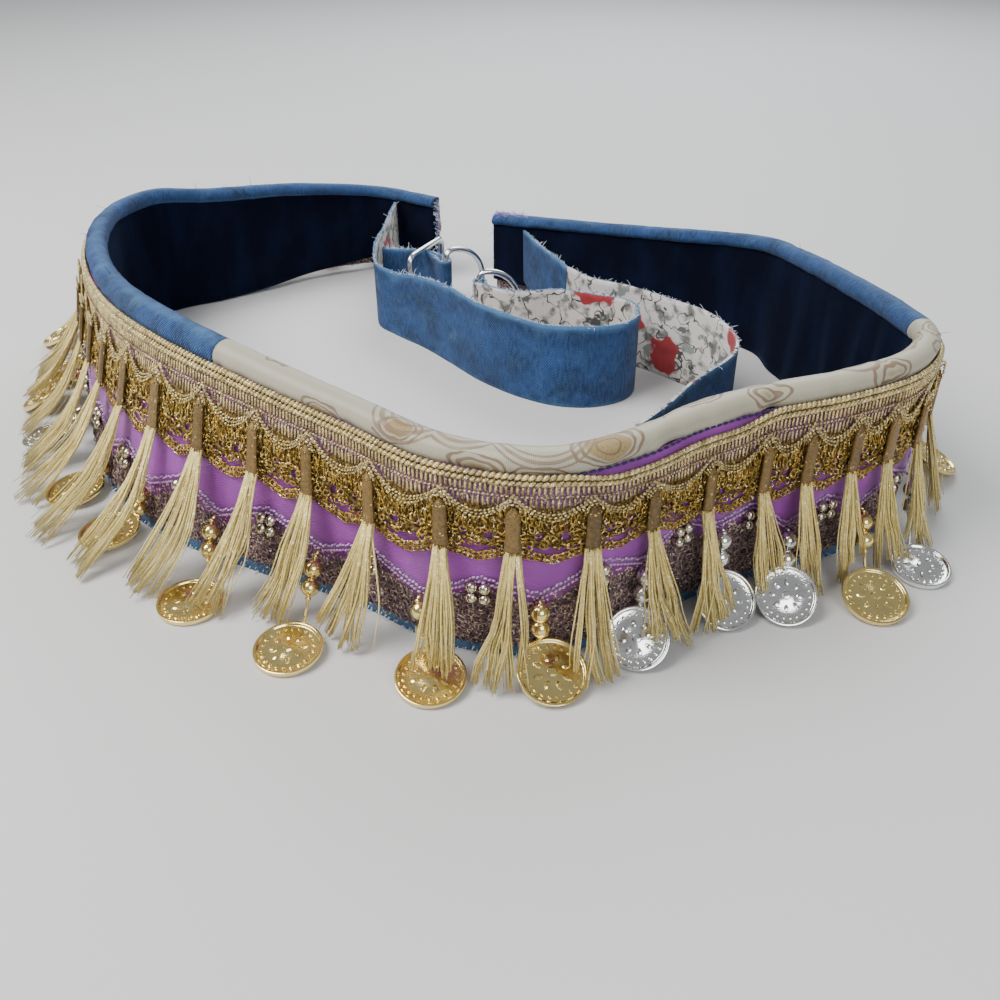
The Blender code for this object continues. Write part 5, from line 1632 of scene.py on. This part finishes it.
class COINBELT_OT_rings(bpy.types.Operator):
    """Bend the three steel D-rings from round rod"""

    bl_idname = "coinbelt.rings"
    bl_label = "D-rings"

    def execute(self, context):
        for ring in RINGS:
            self.bend_rod(ring)
        return {"FINISHED"}

    def bend_rod(self, ring):
        along = Vector(ring.along).normalized()
        out = Vector(ring.out).normalized()
        across = along.cross(out)
        bar = Vector(ring.bar) + Vector((*SHIFT, 0))
        half = ring.width / 2
        flat = [(-half + RING_CORNER, 0.0), (0.0, 0.0), (half - RING_CORNER, 0.0)]
        flat.extend((half - RING_CORNER + RING_CORNER * math.sin(a), RING_CORNER - RING_CORNER * math.cos(a))
                    for a in (0.4, 0.8, 1.2))
        flat.extend((half * math.cos(a), RING_CORNER + (ring.depth - RING_CORNER) * math.sin(a))
                    for a in (math.pi * k / 26 for k in range(27)))
        flat.extend((-half + RING_CORNER - RING_CORNER * math.sin(a), RING_CORNER - RING_CORNER * math.cos(a))
                    for a in (1.2, 0.8, 0.4))
        points = [bar + along * a + out * b for a, b in flat]
        deselect()
        bpy.ops.mesh.primitive_circle_add(vertices=14, radius=ROD_RADIUS)
        section = bpy.context.object
        outline = [vertex.co.copy() for vertex in section.data.vertices]
        bpy.data.objects.remove(section, do_unlink=True)
        spots = []
        for i, point in enumerate(points):
            heading = (points[(i + 1) % len(points)] - points[i - 1]).normalized()
            side = heading.cross(across)
            spots.extend(tuple((point + side * c.x + across * c.y) * MM) for c in outline)
        item = new_piece(ring.name + "_rod", spots, tube_faces(0, len(points), len(outline), closed=True))
        turn_faces_out(item)
        smooth(item)
        dress(item, [FINISHES["steel"]], [ring.name])


class COINBELT_OT_stage(bpy.types.Operator):
    """Set up the floor, the soft studio light and the camera"""

    bl_idname = "coinbelt.stage"
    bl_label = "Stage"

    def execute(self, context):
        deselect()
        bpy.ops.mesh.primitive_plane_add(size=40)
        floor = bpy.context.object
        floor.name = "floor"
        f = Finish("floor_paper", 0.8)
        f.feed("Base Color", f.mixed(f.noise(f.object, 400.0), (0.60, 0.60, 0.60), (0.64, 0.64, 0.64)))
        floor.data.materials.append(f.material)
        for name, place, size, power, colour in LAMPS:
            data = bpy.data.lights.new(name, "AREA")
            data.size = size
            data.energy = power
            data.color = colour
            lamp = bpy.data.objects.new(name, data)
            lamp.location = place
            lamp.rotation_euler = (-Vector(place)).to_track_quat("-Z", "Y").to_euler()
            context.collection.objects.link(lamp)
        world = bpy.data.worlds.new("studio")
        world.use_nodes = True
        sky = world.node_tree.nodes["Background"].inputs
        sky["Color"].default_value = (0.85, 0.88, 0.92, 1)
        sky["Strength"].default_value = SKY_STRENGTH
        context.scene.world = world
        data = bpy.data.cameras.new("camera")
        data.lens = data.sensor_width = CAMERA_LENS
        data.clip_start = 0.01
        camera = bpy.data.objects.new("camera", data)
        camera.location = CAMERA_PLACE
        camera.rotation_euler = (math.radians(CAMERA_TILT), 0, 0)
        context.collection.objects.link(camera)
        context.scene.camera = camera
        return {"FINISHED"}


OPERATORS = (
    COINBELT_OT_finishes, COINBELT_OT_band, COINBELT_OT_bindings, COINBELT_OT_stitches, COINBELT_OT_lace,
    COINBELT_OT_ribbon, COINBELT_OT_braid, COINBELT_OT_chain, COINBELT_OT_coins, COINBELT_OT_tassels,
    COINBELT_OT_straps, COINBELT_OT_rings, COINBELT_OT_stage,
)


class COINBELT_PT_panel(bpy.types.Panel):
    """Lists the belt's pieces in the order in which they are made"""

    bl_idname = "COINBELT_PT_panel"
    bl_label = "Coin belt"
    bl_space_type = "VIEW_3D"
    bl_region_type = "UI"
    bl_category = "Coin belt"

    def draw(self, context):
        for group in (context.scene.coin_belt_sizes, context.scene.coin_belt_colours):
            for name in group.__annotations__:
                self.layout.prop(group, name)
        for operator in OPERATORS:
            self.layout.operator(operator.bl_idname)


CLASSES = (BeltSizes, BeltColours, *OPERATORS, COINBELT_PT_panel)


def register():
    for item in CLASSES:
        bpy.utils.register_class(item)
    bpy.types.Scene.coin_belt_sizes = PointerProperty(type=BeltSizes)
    bpy.types.Scene.coin_belt_colours = PointerProperty(type=BeltColours)


def unregister():
    del bpy.types.Scene.coin_belt_colours
    del bpy.types.Scene.coin_belt_sizes
    for item in reversed(CLASSES):
        bpy.utils.unregister_class(item)


def main():
    register()
    bpy.ops.coinbelt.finishes()
    bpy.ops.coinbelt.band()
    bpy.ops.coinbelt.bindings()
    bpy.ops.coinbelt.stitches()
    bpy.ops.coinbelt.lace()
    bpy.ops.coinbelt.ribbon()
    bpy.ops.coinbelt.braid()
    bpy.ops.coinbelt.chain()
    bpy.ops.coinbelt.coins()
    bpy.ops.coinbelt.tassels()
    bpy.ops.coinbelt.straps()
    bpy.ops.coinbelt.rings()
    bpy.ops.coinbelt.stage()


if __name__ == "__main__":
    main()
